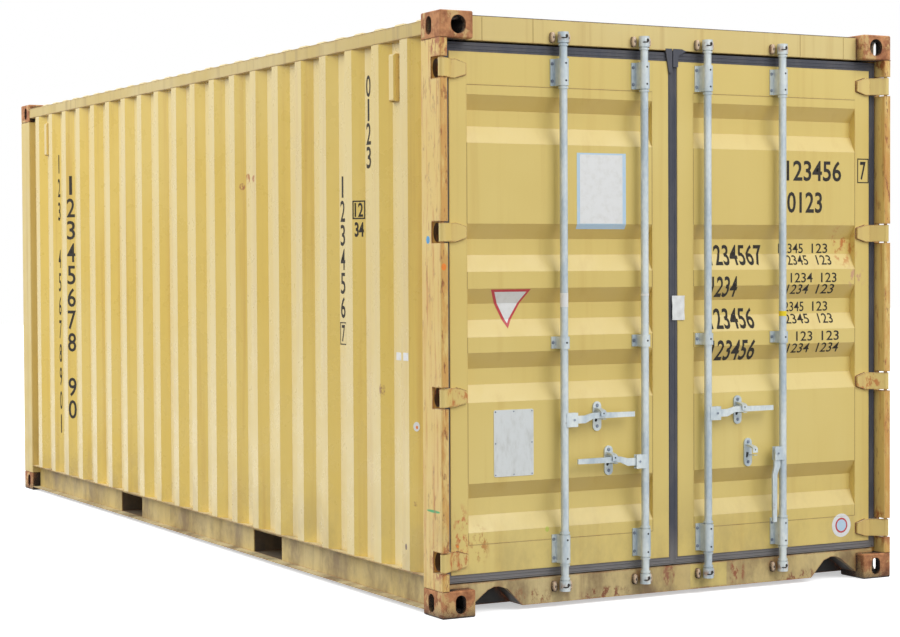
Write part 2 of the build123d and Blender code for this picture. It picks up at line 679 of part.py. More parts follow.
def locking_bar(label, index):
    """Round bar with a cam at each end, collars at its straps, and a hub for its handle."""
    side = HUB_SIDES[index]
    pivot = PIVOT_LEVELS[index]
    y = BAR_Y[index]
    pin_y = y + side * PIVOT_OFFSET
    front_plate = HANDLE_BACK + HANDLE_PLATE + HUB_GAP
    back_plate = HANDLE_BACK - HUB_GAP
    levels = (pivot - HUB_HALF, pivot + HUB_HALF)
    with BuildPart() as rod:
        with BuildSketch(Plane.XY.offset(CAM_LOW[0])):
            with Locations((BAR_X, y)):
                Circle(BAR_RADIUS)
        extrude(amount=CAM_HIGH[1] - CAM_LOW[0])
        for low, high in (CAM_LOW, CAM_HIGH):
            with BuildSketch(Plane.XY.offset(low)):
                with Locations((BAR_X, y)):
                    Circle(CAM_RADIUS)
                with Locations((BAR_X - CAM_REACH / 2, y)):
                    Rectangle(CAM_REACH, CAM_WIDTH)
            extrude(amount=high - low)
        for start in COLLARS:
            with BuildSketch(Plane.XY.offset(start)):
                with Locations((BAR_X, y)):
                    Circle(COLLAR_RADIUS)
            extrude(amount=COLLAR_HEIGHT)
        block((back_plate - HUB_PLATE, front_plate + HUB_PLATE), (y, y + side * HUB_WEB), levels)
        block((back_plate - HUB_PLATE, back_plate), (y, y + side * HUB_REACH), levels)
        block((front_plate, front_plate + HUB_PLATE), (y, y + side * HUB_REACH), levels)
        with BuildSketch(Plane.YZ.offset(back_plate - 1)):
            with Locations((pin_y, pivot)):
                Circle(HANDLE_PIN)
        extrude(amount=front_plate - back_plate + HUB_PLATE + 3)
    save(rod.part, label)


def handle(label, index):
    """Flat cranked handle; the hanging one points down from its pivot."""
    side = HUB_SIDES[index]
    pivot = PIVOT_LEVELS[index]
    pin_y = BAR_Y[index] + side * PIVOT_OFFSET
    stations = [
        (0, 0, HANDLE_HALF),
        (60, 0, HANDLE_HALF),
        (100, HANDLE_RISE, HANDLE_TIP_HALF + 2),
        (HANDLE_LENGTH, HANDLE_RISE, HANDLE_TIP_HALF),
    ]
    upper = [(u, v + half) for u, v, half in stations]
    lower = [(u, v - half) for u, v, half in reversed(stations)]
    outline = [(pin_y + side * u, pivot + v) for u, v in upper + lower]
    if index == HANGING:
        outline = [(pin_y + side * v, pivot - u) for u, v in upper + lower]
    with BuildPart() as lever:
        with BuildSketch(Plane.YZ.offset(HANDLE_BACK)):
            Polygon(*outline, align=None)
            with Locations((pin_y, pivot)):
                Circle(HANDLE_EYE)
                Circle(HANDLE_PIN + PIN_CLEARANCE, mode=Mode.SUBTRACT)
        extrude(amount=HANDLE_PLATE)
    save(lever.part, label)


def base():
    """Build the base frame and the floor."""
    corner_castings("corner_castings_bottom", 0, 1, FACE_HOLE_WIDTH)
    corner_castings("corner_castings_top", HEIGHT, -1, UPPER_END_HOLE_WIDTH)
    bottom_rail("bottom_rail_left", -1)
    bottom_rail("bottom_rail_right", 1)
    cross_members()
    forklift_pockets()
    floor_boards()


def shell():
    """Build the end frames, the walls and the roof."""
    door_sill()
    beam("door_header", (INNER_END, DOOR_BEAM_FACE), (TOP_CASTING_Z, HEADER_TOP))
    beam("front_sill", (-FRONT_BEAM_FACE, -INNER_END), (RAIL_BOTTOM, FLOOR_BOTTOM))
    beam("front_header", (-FRONT_BEAM_FACE, -INNER_END), (TOP_CASTING_Z, HEADER_TOP))
    for name, side in (("left", -1), ("right", 1)):
        door_post(f"door_post_{name}", side)
        front_post(f"front_post_{name}", side)
        side_wall(f"side_wall_{name}", side)
        top_rail(f"top_rail_{name}", side)
        hinge_lugs(f"hinge_lugs_{name}", side)
    front_wall()
    roof_panel()
    side_vents()
    cam_keepers()


def doors():
    """Build both doors and the gear that each carries."""
    for name, side, indexes in (("left", -1, (0, 1)), ("right", 1, (2, 3))):
        door_frame(f"door_frame_{name}", side)
        door_panel(f"door_panel_{name}", side)
        door_gasket(f"door_gasket_{name}", side)
        hinge_blades(f"hinge_blades_{name}", side)
        bar_brackets(f"bar_brackets_{name}", [BAR_Y[index] for index in indexes])
        handle_catches(f"handle_catches_{name}", indexes)
    data_plate()
    for index in range(len(BAR_Y)):
        locking_bar(f"locking_bar_{index + 1}", index)
        handle(f"handle_{index + 1}", index)


os.makedirs("parts", exist_ok=True)
base()
shell()
doors()
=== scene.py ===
"""Looks of a twenty-foot freight container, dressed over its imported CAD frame.

Every object is in metres in the frame of the CAD part: +X towards the doors, +Y to the right of a
person who faces them, +Z up.
"""

import logging
import math
from dataclasses import dataclass
from enum import Enum
from typing import Union

import bmesh
import bpy
from mathutils import Matrix, Vector


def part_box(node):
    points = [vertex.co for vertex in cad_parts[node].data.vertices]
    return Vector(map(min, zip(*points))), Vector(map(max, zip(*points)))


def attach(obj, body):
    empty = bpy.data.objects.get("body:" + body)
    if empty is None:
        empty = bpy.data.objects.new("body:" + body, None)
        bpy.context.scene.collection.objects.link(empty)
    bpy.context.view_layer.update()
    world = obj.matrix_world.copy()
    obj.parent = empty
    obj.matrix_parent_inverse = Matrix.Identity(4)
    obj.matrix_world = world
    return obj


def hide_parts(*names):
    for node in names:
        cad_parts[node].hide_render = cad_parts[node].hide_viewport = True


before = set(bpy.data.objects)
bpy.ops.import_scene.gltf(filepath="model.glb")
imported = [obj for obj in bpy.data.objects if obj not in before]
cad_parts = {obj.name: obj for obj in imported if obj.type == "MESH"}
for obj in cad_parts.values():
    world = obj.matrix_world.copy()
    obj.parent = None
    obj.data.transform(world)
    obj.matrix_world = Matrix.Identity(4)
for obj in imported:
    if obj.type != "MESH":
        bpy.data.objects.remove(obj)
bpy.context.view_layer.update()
LOG = logging.getLogger("container")

Colour = tuple[float, float, float]
Point = tuple[float, float, float]
Pair = tuple[float, float]
Range = tuple[float, float]
Levels = tuple[float, ...]
Flat = list[Pair]
Socket = bpy.types.NodeSocket
Value = Union[Socket, float]
Tint = Union[Socket, Colour]
Given = Union[Socket, float, Colour]

# Locking gear: axis of the bars, their places across the doors, and the levels of cams, straps and handles.
BAR_X = 3.005
BAR_Y = (-0.595, -0.172, 0.172, 0.595)
CAM_LEVELS = (0.095, 2.5025)
STRAPS = ((0.196, 0.320), (1.140, 1.193), (2.292, 2.410))
PIVOTS = (0.826, 0.626, 0.826, 0.626)

# Handle catches: their places across the doors, their height above the pivots, and the thickness of a plate.
CATCHES = (-0.403, -0.343, 0.364, 0.423)
CATCH_RISE = 0.008
CATCH_PLATE = 0.007

# Front of the door panels, and the levels of the hinges.
LEAF_FACE = 2.962
HINGE_LEVELS = (0.238, 0.943, 1.650, 2.350)


def srgb(red: int, green: int, blue: int) -> Colour:
    """Turn an 8-bit screen colour into a linear one.

    Args:
        red: Red, 0 to 255.
        green: Green, 0 to 255.
        blue: Blue, 0 to 255.

    Returns:
        The linear colour.
    """
    values = []
    for channel in (red, green, blue):
        share = channel / 255
        values.append(share / 12.92 if share <= 0.04045 else ((share + 0.055) / 1.055) ** 2.4)
    return (values[0], values[1], values[2])


class Side(Enum):
    """The two sides of the box, seen by a person who faces the doors."""

    LEFT = -1
    RIGHT = 1

    @property
    def word(self) -> str:
        """The side's word in node names."""
        return self.name.lower()

    @property
    def bars(self) -> tuple[int, int]:
        """The two locking bars of this side's door."""
        return (0, 1) if self is Side.LEFT else (2, 3)


class Axis(Enum):
    """The way a fastener's head points."""

    PLUS_X = (0.0, math.pi / 2, 0.0)
    PLUS_Y = (-math.pi / 2, 0.0, 0.0)
    MINUS_Y = (math.pi / 2, 0.0, 0.0)
    PLUS_Z = (0.0, 0.0, 0.0)


class Tree:
    """A node tree, with short calls for what materials, surroundings and repeaters share."""

    def __init__(self, tree: bpy.types.NodeTree) -> None:
        """Start empty."""
        self.tree = tree
        self.tree.nodes.clear()

    def feed(self, socket: Socket, value: Given) -> None:
        """Link an input to another node, or set it to a plain value.

        Args:
            socket: The input.
            value: What goes in.
        """
        if isinstance(value, Socket):
            self.tree.links.new(value, socket)
        elif socket.type == "RGBA":
            socket.default_value = (*value, 1.0)
        else:
            socket.default_value = value

    def add(self, kind: str, given: dict[str | int, Given]) -> bpy.types.Node:
        """Add a node.

        Args:
            kind: Its class in Blender.
            given: What goes into its inputs, by their names or numbers.

        Returns:
            The node.
        """
        node = self.tree.nodes.new(kind)
        for key, value in given.items():
            self.feed(node.inputs[key], value)
        return node

    def math(self, kind: str, first: Value, second: Value = 0.0, clamp: bool = True) -> Socket:
        """Join two values with one operation.

        Args:
            kind: The operation.
            first: Left value.
            second: Right value.
            clamp: Whether the result stays between 0 and 1.

        Returns:
            The result socket.
        """
        node = self.add("ShaderNodeMath", {0: first, 1: second})
        node.operation = kind
        node.use_clamp = clamp
        return node.outputs[0]

    def times(self, first: Value, second: Value) -> Socket:
        """Return the product of two values."""
        return self.math("MULTIPLY", first, second)

    def most(self, first: Value, second: Value) -> Socket:
        """Return the larger of two values."""
        return self.math("MAXIMUM", first, second)

    def seen(self) -> Socket:
        """Return 1 for rays from the camera, through glass and off gloss, and 0 for all others.

        Returns:
            The mask socket.
        """
        rays = self.add("ShaderNodeLightPath", {}).outputs
        clear = self.most(rays["Is Camera Ray"], rays["Is Transmission Ray"])
        return self.most(clear, rays["Is Glossy Ray"])


class Graph(Tree):
    """A material's node tree, with the nodes that the finishes share."""

    def __init__(self, name: str) -> None:
        """Start an empty material.

        Args:
            name: The material's name.
        """
        self.material = bpy.data.materials.new(name)
        self.material.use_nodes = True
        super().__init__(self.material.node_tree)
        self.shader = self.add("ShaderNodeBsdfPrincipled", {})
        self.add("ShaderNodeOutputMaterial", {"Surface": self.shader.outputs["BSDF"]})
        self.place = self.add("ShaderNodeTexCoord", {}).outputs["Object"]

    def scaled(self, scale: Point, shift: Point = (0.0, 0.0, 0.0)) -> Socket:
        """Return the object's coordinates, stretched and shifted."""
        given = {"Vector": self.place, "Scale": scale, "Location": shift}
        return self.add("ShaderNodeMapping", given).outputs["Vector"]

    def noise(self, scale: Point, detail: float = 4.0, rough: float = 0.55, seed: float = 0.0) -> Socket:
        """Return smooth noise between 0 and 1.

        Args:
            scale: Cells in a metre along each axis.
            detail: Number of octaves.
            rough: Strength of the fine octaves.
            seed: Shift that makes this noise differ from others.

        Returns:
            The factor socket.
        """
        place = self.scaled(scale, (seed, seed * 1.7, seed * 0.6))
        given = {"Vector": place, "Scale": 1.0, "Detail": detail, "Roughness": rough}
        return self.add("ShaderNodeTexNoise", given).outputs["Fac"]

    def cells(self, scale: Point) -> Socket:
        """Return the distance to the nearest of many scattered points."""
        given = {"Vector": self.scaled(scale), "Scale": 1.0}
        return self.add("ShaderNodeTexVoronoi", given).outputs["Distance"]

    def span(
        self, value: Socket, low: float, high: float, out_low: float = 0.0, out_high: float = 1.0,
    ) -> Socket:
        """Map a value smoothly from one range to another and clamp it.

        Args:
            value: The socket to read.
            low: Value that gives out_low.
            high: Value that gives out_high.
            out_low: Result at low.
            out_high: Result at high.

        Returns:
            The mapped socket.
        """
        given = {"Value": value, "From Min": low, "From Max": high, "To Min": out_low, "To Max": out_high}
        node = self.add("ShaderNodeMapRange", given)
        node.interpolation_type = "SMOOTHSTEP"
        return node.outputs["Result"]

    def axis(self, name: str) -> Socket:
        """Return one object coordinate, X, Y or Z, in metres."""
        return self.add("ShaderNodeSeparateXYZ", {0: self.place}).outputs[name]

    def normal(self) -> Socket:
        """Return the way the surface faces."""
        return self.add("ShaderNodeNewGeometry", {}).outputs["Normal"]

    def facing(self, name: str) -> Socket:
        """Return one component of the surface normal."""
        return self.add("ShaderNodeSeparateXYZ", {0: self.normal()}).outputs[name]

    def edge(self, radius: float) -> Socket:
        """Return 1 near sharp edges and 0 on flat faces.

        Args:
            radius: Width of the edge band in metres.

        Returns:
            The mask socket.
        """
        bevel = self.add("ShaderNodeBevel", {"Radius": radius})
        bevel.samples = 4
        dot = self.add("ShaderNodeVectorMath", {0: bevel.outputs["Normal"], 1: self.normal()})
        dot.operation = "DOT_PRODUCT"
        return self.span(dot.outputs["Value"], 0.995, 0.86)

    def crevice(self, reach: float) -> Socket:
        """Return 1 in corners and inside hollows, and 0 on open faces.

        Args:
            reach: How far away another face still counts, in metres.

        Returns:
            The mask socket.
        """
        node = self.add("ShaderNodeAmbientOcclusion", {"Distance": reach})
        node.samples = 6
        return self.span(node.outputs["AO"], 0.92, 0.35)

    def blend(self, factor: Value, first: Tint, second: Tint) -> Socket:
        """Mix two colours.

        Args:
            factor: Share of the second colour.
            first: Colour at 0.
            second: Colour at 1.

        Returns:
            The colour socket.
        """
        node = self.add("ShaderNodeMix", {})
        node.data_type = "RGBA"
        for key, value in (("Factor", factor), (6, first), (7, second)):
            self.feed(node.inputs[key], value)
        return node.outputs[2]

    def paint(self, colour: Tint, rough: Value, metal: Value = 0.0) -> None:
        """Connect colour, roughness and metalness to the shader.

        Args:
            colour: Base colour.
            rough: Roughness.
            metal: Metalness.
        """
        for name, value in (("Base Color", colour), ("Roughness", rough), ("Metallic", metal)):
            self.feed(self.shader.inputs[name], value)

    def bump(self, height: Socket, depth: float, strength: float = 1.0) -> None:
        """Add one layer of relief on top of what is there.

        Args:
            height: The height socket, 0 to 1.
            depth: Real depth in metres of the step from 0 to 1.
            strength: Strength of the bump.
        """
        node = self.add("ShaderNodeBump", {"Height": height, "Distance": depth, "Strength": strength})
        before = self.shader.inputs["Normal"].links
        if before:
            self.feed(node.inputs["Normal"], before[0].from_socket)
        self.feed(self.shader.inputs["Normal"], node.outputs["Normal"])


@dataclass(frozen=True)
class Mottle:
    """Cloudy pattern: cells in a metre, the levels where a patch starts and is full, and the noise's values.

    The noise's values are its octaves, the strength of the fine ones, and the shift that makes it differ.
    """

    scale: Point
    start: float
    full: float
    detail: float = 6.0
    rough: float = 0.7
    seed: float = 0.0

    def on(self, graph: Graph, low: float = 0.0, high: float = 1.0) -> Socket:
        """Return the pattern in a material: low between its patches and high inside them."""
        noise = graph.noise(self.scale, self.detail, self.rough, self.seed)
        return graph.span(noise, self.start, self.full, low, high)


CLOUD = Mottle((0.9, 0.9, 0.9), 0.35, 0.68, 3.0, 0.55)
RUNS = Mottle((14.0, 14.0, 0.45), 0.50, 0.78, 5.0, 0.6, 3.1)
WASHED = Mottle((9.0, 9.0, 0.7), 0.55, 0.80, 4.0, 0.6, 7.7)
CHALK_AND_LIGHT = Mottle((6.0, 6.0, 0.8), 0.25, 0.70, 5.0, 0.6, 21.0)
GRIME = Mottle((5.0, 5.0, 3.0), 0.38, 0.70, 6.0, 0.65, 1.3)
RUST_ZONES = Mottle((2.2, 2.2, 2.2), 0.46, 0.62, 3.0, 0.5, 9.0)
WORN_EDGES = Mottle((16.0, 16.0, 9.0), 0.36, 0.56, seed=2.0)
BLEED = Mottle((12.0, 12.0, 6.0), 0.34, 0.60, seed=6.5)
LOOSE = Mottle((26.0, 26.0, 7.0), 0.36, 0.56, seed=15.0)
FLECKS = Mottle((44.0, 44.0, 12.0), 0.56, 0.64, seed=17.0)
DRIPS = Mottle((48.0, 48.0, 2.6), 0.52, 0.66, seed=19.0)
RUST_TONE = Mottle((60.0, 60.0, 60.0), 0.35, 0.65, 5.0, 0.6, 4.0)
SHEEN = Mottle((7.0, 7.0, 7.0), 0.30, 0.70, 4.0, 0.6, 6.0)
CAST_TONE = Mottle((22.0, 22.0, 22.0), 0.30, 0.70, 7.0, 0.65)
CAST_SHADE = Mottle((9.0, 9.0, 9.0), 0.55, 0.75, 5.0, 0.6, 4.0)
ZINC_CLOUD = Mottle((10.0, 10.0, 3.0), 0.35, 0.65, 5.0, 0.6)
ZINC_SPOTS = Mottle((38.0, 38.0, 16.0), 0.64, 0.74, seed=3.0)
BLOOM = Mottle((8.0, 8.0, 3.0), 0.40, 0.72, rough=0.65)
GRAIN = Mottle((1.6, 42.0, 42.0), 0.32, 0.70, 7.0, 0.65)
SCUFFS = Mottle((3.0, 3.0, 3.0), 0.55, 0.75, seed=5.0)
FLOOR_TONE = Mottle((0.6, 0.6, 0.6), 0.30, 0.70, 3.0, 0.55)


@dataclass(frozen=True)
class Stain:
    """Patch of one tint at one place of a coat of paint, solid or broken up into flakes; used for real stains
    and marks, and for painted shade in dark hollows.
    """

    centre: Point
    radii: Point
    tint: Colour
    broken: float = 0.0

    def over(self, graph: Graph, colour: Socket) -> Socket:
        """Lay the patch over a colour.

        Args:
            graph: The material.
            colour: The colour below.

        Returns:
            The colour with the patch.
        """
        scale = tuple(1.0 / radius for radius in self.radii)
        shift = tuple(-place * factor for place, factor in zip(self.centre, scale))
        length = graph.add("ShaderNodeVectorMath", {0: graph.scaled(scale, shift)})
        length.operation = "LENGTH"
        inside = graph.span(length.outputs["Value"], 1.05, 0.95 - 0.6 * self.broken)
        if self.broken > 0:
            flakes = Mottle((30.0, 30.0, 18.0), 0.40 + 0.12 * self.broken, 0.60, seed=12.0)
            inside = graph.times(inside, flakes.on(graph))
        return graph.blend(inside, colour, self.tint)


@dataclass(frozen=True)
class PaintFinish:
    """Weathered coat of paint on steel, with chips, rust, run marks and dirt near the ground."""

    name: str
    base: Colour
    pale: Colour
    # Tone of run marks, and of the painted shade on downward faces.
    deep: Colour
    rust: float = 0.3
    edge_rust: float = 0.0
    streaks: float = 0.5
    low_dirt: float = 0.5
    rough: float = 0.5
    corner_rust: float = 0.0
    # Colour of upward faces: dust, and painted sky light from above.
    dust: Colour = srgb(228, 214, 172)
    peel: float = 0.0
    # Strength of the paling of the flats: chalked paint and painted light.
    chalk: float = 0.0
    stains: tuple[Stain, ...] = ()

    def coat(self, graph: Graph) -> Socket:
        """Return the paint with clouds, run marks, chalk and painted light on the flats, dust and painted sky
        light on top, painted shade below, and dirt near the ground.

        Args:
            graph: The material.

        Returns:
            The colour socket.
        """
        colour = graph.blend(graph.times(CLOUD.on(graph), 0.6), self.base, self.pale)
        colour = graph.blend(graph.times(RUNS.on(graph), self.streaks), colour, self.deep)
        colour = graph.blend(graph.times(WASHED.on(graph), 0.35 * self.streaks), colour, self.pale)
        # Flats that face X or Y are paled: partly chalked paint, and partly painted light that leaves the
        # sloped ribs darker than the flats.
        if self.chalk > 0:
            ahead = graph.math("ABSOLUTE", graph.facing("X"))
            beside = graph.math("ABSOLUTE", graph.facing("Y"))
            flat = graph.span(graph.most(ahead, beside), 0.93, 0.99)
            bleached_and_lit = graph.times(graph.times(flat, CHALK_AND_LIGHT.on(graph, 0.6)), self.chalk)
            colour = graph.blend(bleached_and_lit, colour, srgb(232, 222, 190))
        # Upward faces turn towards the dust colour: partly real dust, partly painted sky light from above.
        up = graph.facing("Z")
        colour = graph.blend(graph.span(up, 0.25, 0.8, 0.0, 0.75), colour, self.dust)
        # Downward faces turn deeper in tone: painted shade.
        colour = graph.blend(graph.span(up, -0.2, -0.7, 0.0, 0.55), colour, self.deep)
        grime = graph.times(graph.span(graph.axis("Z"), 0.62, 0.02), GRIME.on(graph))
        return graph.blend(graph.times(grime, self.low_dirt), colour, srgb(128, 104, 72))

    def pits(self, graph: Graph) -> Socket:
        """Return where the steel shows: specks, worn edges and corners that bleed.

        Args:
            graph: The material.

        Returns:
            The mask socket.
        """
        specks = Mottle((34.0, 34.0, 26.0), 0.72 - 0.06 * self.rust, 0.78, seed=5.0)
        pits = graph.times(graph.times(specks.on(graph), RUST_ZONES.on(graph)), min(1.0, self.rust * 2.0))
        if self.edge_rust > 0:
            worn = graph.times(graph.edge(0.009), WORN_EDGES.on(graph))
            pits = graph.most(pits, graph.times(worn, self.edge_rust))
        if self.corner_rust > 0:
            bleed = graph.times(graph.crevice(0.035), BLEED.on(graph))
            pits = graph.most(pits, graph.times(bleed, self.corner_rust))
        return pits

    def peeled(self, graph: Graph, colour: Socket, pits: Socket) -> tuple[Socket, Socket]:
        """Let the coat come off in flakes, with rusty drips.

        Args:
            graph: The material.
            colour: The coat's colour.
            pits: Where the steel shows.

        Returns:
            The new colour, and where the steel shows now.
        """
        front = graph.times(graph.span(graph.facing("X"), 0.6, 0.95), self.peel)
        colour = graph.blend(graph.times(front, LOOSE.on(graph)), colour, srgb(206, 152, 74))
        flecks = graph.times(graph.most(front, 0.45), FLECKS.on(graph))
        drips = graph.times(DRIPS.on(graph), self.peel)
        return graph.blend(drips, colour, srgb(200, 138, 70)), graph.most(pits, flecks)

    def build(self) -> bpy.types.Material:
        """Build the material.

        Returns:
            The finished material.
        """
        graph = Graph(self.name)
        colour = self.coat(graph)
        pits = self.pits(graph)
        if self.peel > 0:
            colour, pits = self.peeled(graph, colour, pits)
        # Patches: real stains and marks, and on some finishes painted shade in dark hollows.
        for stain in self.stains:
            colour = stain.over(graph, colour)
        rusty = graph.blend(RUST_TONE.on(graph), srgb(120, 66, 34), srgb(176, 104, 58))
        rough = SHEEN.on(graph, self.rough - 0.07, self.rough + 0.1)
        graph.paint(graph.blend(pits, colour, rusty), graph.most(rough, graph.times(pits, 0.85)))
        graph.bump(graph.noise((3.2, 3.2, 2.6), 2.0, 0.4, 8.0), 0.006, 0.55)
        graph.bump(graph.noise((260.0, 260.0, 260.0), 2.0), 0.0004, 0.35)
        graph.bump(graph.math("SUBTRACT", 1.0, pits), 0.0009, 0.6)
        return graph.material


@dataclass(frozen=True)
class RustFinish:
    """Cast or forged steel whose paint is mostly gone, with painted shade darkening its hollows."""

    name: str
    paint: Colour
    paint_left: float = 0.35

    def build(self) -> bpy.types.Material:
        """Build the material.

        Returns:
            The finished material.
        """
        graph = Graph(self.name)
        rust = graph.blend(CAST_TONE.on(graph), srgb(142, 86, 54), srgb(204, 144, 96))
        rust = graph.blend(graph.times(CAST_SHADE.on(graph), 0.5), rust, srgb(70, 46, 34))
        level = 0.66 - 0.36 * self.paint_left
        coat = Mottle((11.0, 11.0, 8.0), level, level + 0.07, seed=2.5)
        kept = graph.times(coat.on(graph), graph.math("SUBTRACT", 1.0, graph.edge(0.007)))
        colour = graph.blend(kept, rust, self.paint)
        # Painted shade: hollows darkened by ambient occlusion, near-black in the deep ones.
        colour = graph.blend(graph.times(graph.crevice(0.05), 0.7), colour, srgb(64, 42, 30))
        colour = graph.blend(graph.span(graph.crevice(0.14), 0.55, 0.85), colour, srgb(26, 18, 14))
        graph.paint(colour, graph.span(kept, 0.0, 1.0, 0.86, 0.55))
        graph.bump(kept, 0.0008, 0.7)
        graph.bump(graph.noise((90.0, 90.0, 90.0), 6.0, 0.7), 0.0016, 0.5)
        return graph.material


@dataclass(frozen=True)
class ZincFinish:
    """Dull hot-dip galvanised steel with faint spangle, clouds and brown spots."""

    name: str
    light: Colour = srgb(212, 218, 216)
    dark: Colour = srgb(166, 180, 190)
    stain: float = 0.25
    stains: tuple[Stain, ...] = ()

    def build(self) -> bpy.types.Material:
        """Build the material.

        Returns:
            The finished material.
        """
        graph = Graph(self.name)
        spangle = graph.span(graph.cells((70.0, 70.0, 45.0)), 0.1, 0.9)
        cloud = ZINC_CLOUD.on(graph)
        tone = graph.math("ADD", graph.times(spangle, 0.25), graph.times(cloud, 0.7))
        colour = graph.blend(tone, self.light, self.dark)
        colour = graph.blend(graph.times(ZINC_SPOTS.on(graph), self.stain * 2.0), colour, srgb(132, 104, 82))
        # Patches: real stains, and on the bars the painted shade in the cam eyes.
        for stain in self.stains:
            colour = stain.over(graph, colour)
        graph.paint(colour, graph.span(cloud, 0.0, 1.0, 0.42, 0.6), 0.35)
        graph.bump(graph.noise((120.0, 120.0, 60.0), 4.0), 0.0005, 0.5)
        return graph.material


@dataclass(frozen=True)
class RubberFinish:
    """Aged black rubber with a bloom of dust."""

    name: str
    dark: Colour = srgb(60, 62, 72)
    dusty: Colour = srgb(122, 119, 118)

    def build(self) -> bpy.types.Material:
        """Build the material.

        Returns:
            The finished material.
        """
        graph = Graph(self.name)
        dust = BLOOM.on(graph)
        low = graph.times(graph.span(graph.axis("Z"), 0.36, 0.17), 0.85)
        colour = graph.blend(graph.most(graph.times(dust, 0.45), low), self.dark, self.dusty)
        graph.paint(colour, graph.span(dust, 0.0, 1.0, 0.62, 0.85))
        graph.bump(graph.noise((150.0, 150.0, 150.0), 4.0), 0.0004, 0.5)
        return graph.material


@dataclass(frozen=True)
class PlyFinish:
    """Sealed floor plywood with long grain and dark scuffs."""

    name: str
    light: Colour = srgb(158, 118, 82)
    dark: Colour = srgb(104, 70, 46)

    def build(self) -> bpy.types.Material:
        """Build the material.

        Returns:
            The finished material.
        """
        graph = Graph(self.name)
        grain = GRAIN.on(graph)
        scuff = SCUFFS.on(graph)
        colour = graph.blend(grain, self.light, self.dark)
        colour = graph.blend(graph.times(scuff, 0.5), colour, srgb(84, 66, 54))
        graph.paint(colour, graph.span(scuff, 0.0, 1.0, 0.5, 0.75))
        graph.bump(grain, 0.0007, 0.6)
        return graph.material


@dataclass(frozen=True)
class SheetFinish:
    """Printed film, tape or a bare plate: one tone with a cloudy stain and soft relief."""

    name: str
    base: Colour
    stain: Colour
    amount: float = 0.35
    rough: float = 0.45
    metal: float = 0.0
    grain: Point = (30.0, 30.0, 30.0)

    def build(self) -> bpy.types.Material:
        """Build the material.

        Returns:
            The finished material.
        """
        graph = Graph(self.name)
        cloud = Mottle(self.grain, 0.42, 0.74, rough=0.65).on(graph)
        colour = graph.blend(graph.times(cloud, self.amount), self.base, self.stain)
        rough = graph.span(cloud, 0.0, 1.0, self.rough, min(1.0, self.rough + 0.2))
        graph.paint(colour, rough, self.metal)
        graph.bump(graph.noise((180.0, 180.0, 180.0), 3.0), 0.0003, 0.5)
        return graph.material


def post_stains() -> tuple[Stain, ...]:
    """Return the paint marks, the rusty ends, and painted shade in the hinge cut-outs of the door posts.

    Returns:
        The patches of both posts.
    """
    stains = [
        Stain((2.912, -1.219, 1.618), (0.016, 0.004, 0.017), srgb(70, 160, 215)),
        Stain((2.950, -1.219, 0.456), (0.060, 0.004, 0.006), srgb(84, 168, 104)),
        Stain((3.029, -1.205, 1.502), (0.004, 0.012, 0.015), srgb(236, 132, 40)),
    ]
    for side in Side:
        for level, tall in ((0.24, 0.11), (2.46, 0.09)):
            stains.append(Stain((2.99, side.value * 1.2, level), (0.09, 0.06, tall), srgb(172, 104, 56), 0.6))
    # Dark brown patches of painted shade inside the hinge cut-outs.
    for side in Side:
        for level in HINGE_LEVELS:
            stains.append(Stain((2.965, side.value * 1.192, level), (0.036, 0.022, 0.050), srgb(62, 38, 20)))
    return tuple(stains)


def cam_eyes() -> tuple[Stain, ...]:
    """Return the rusty end of every cam, and its eye and split painted dark as shade.

    Returns:
        The patches of all bars.
    """
    stains = []
    for y in BAR_Y:
        for z in CAM_LEVELS:
            stains.append(Stain((BAR_X, y, z), (0.030, 0.030, 0.030), srgb(150, 106, 66), 0.5))
            # Near-black patches of painted shade in the cam's split and eye.
            stains.append(Stain((3.026, y - 0.008, z - 0.004), (0.010, 0.014, 0.0032), srgb(40, 34, 30)))
            stains.append(Stain((3.030, y + 0.004, z + 0.004), (0.006, 0.0070, 0.0090), srgb(40, 34, 30)))
    return tuple(stains)


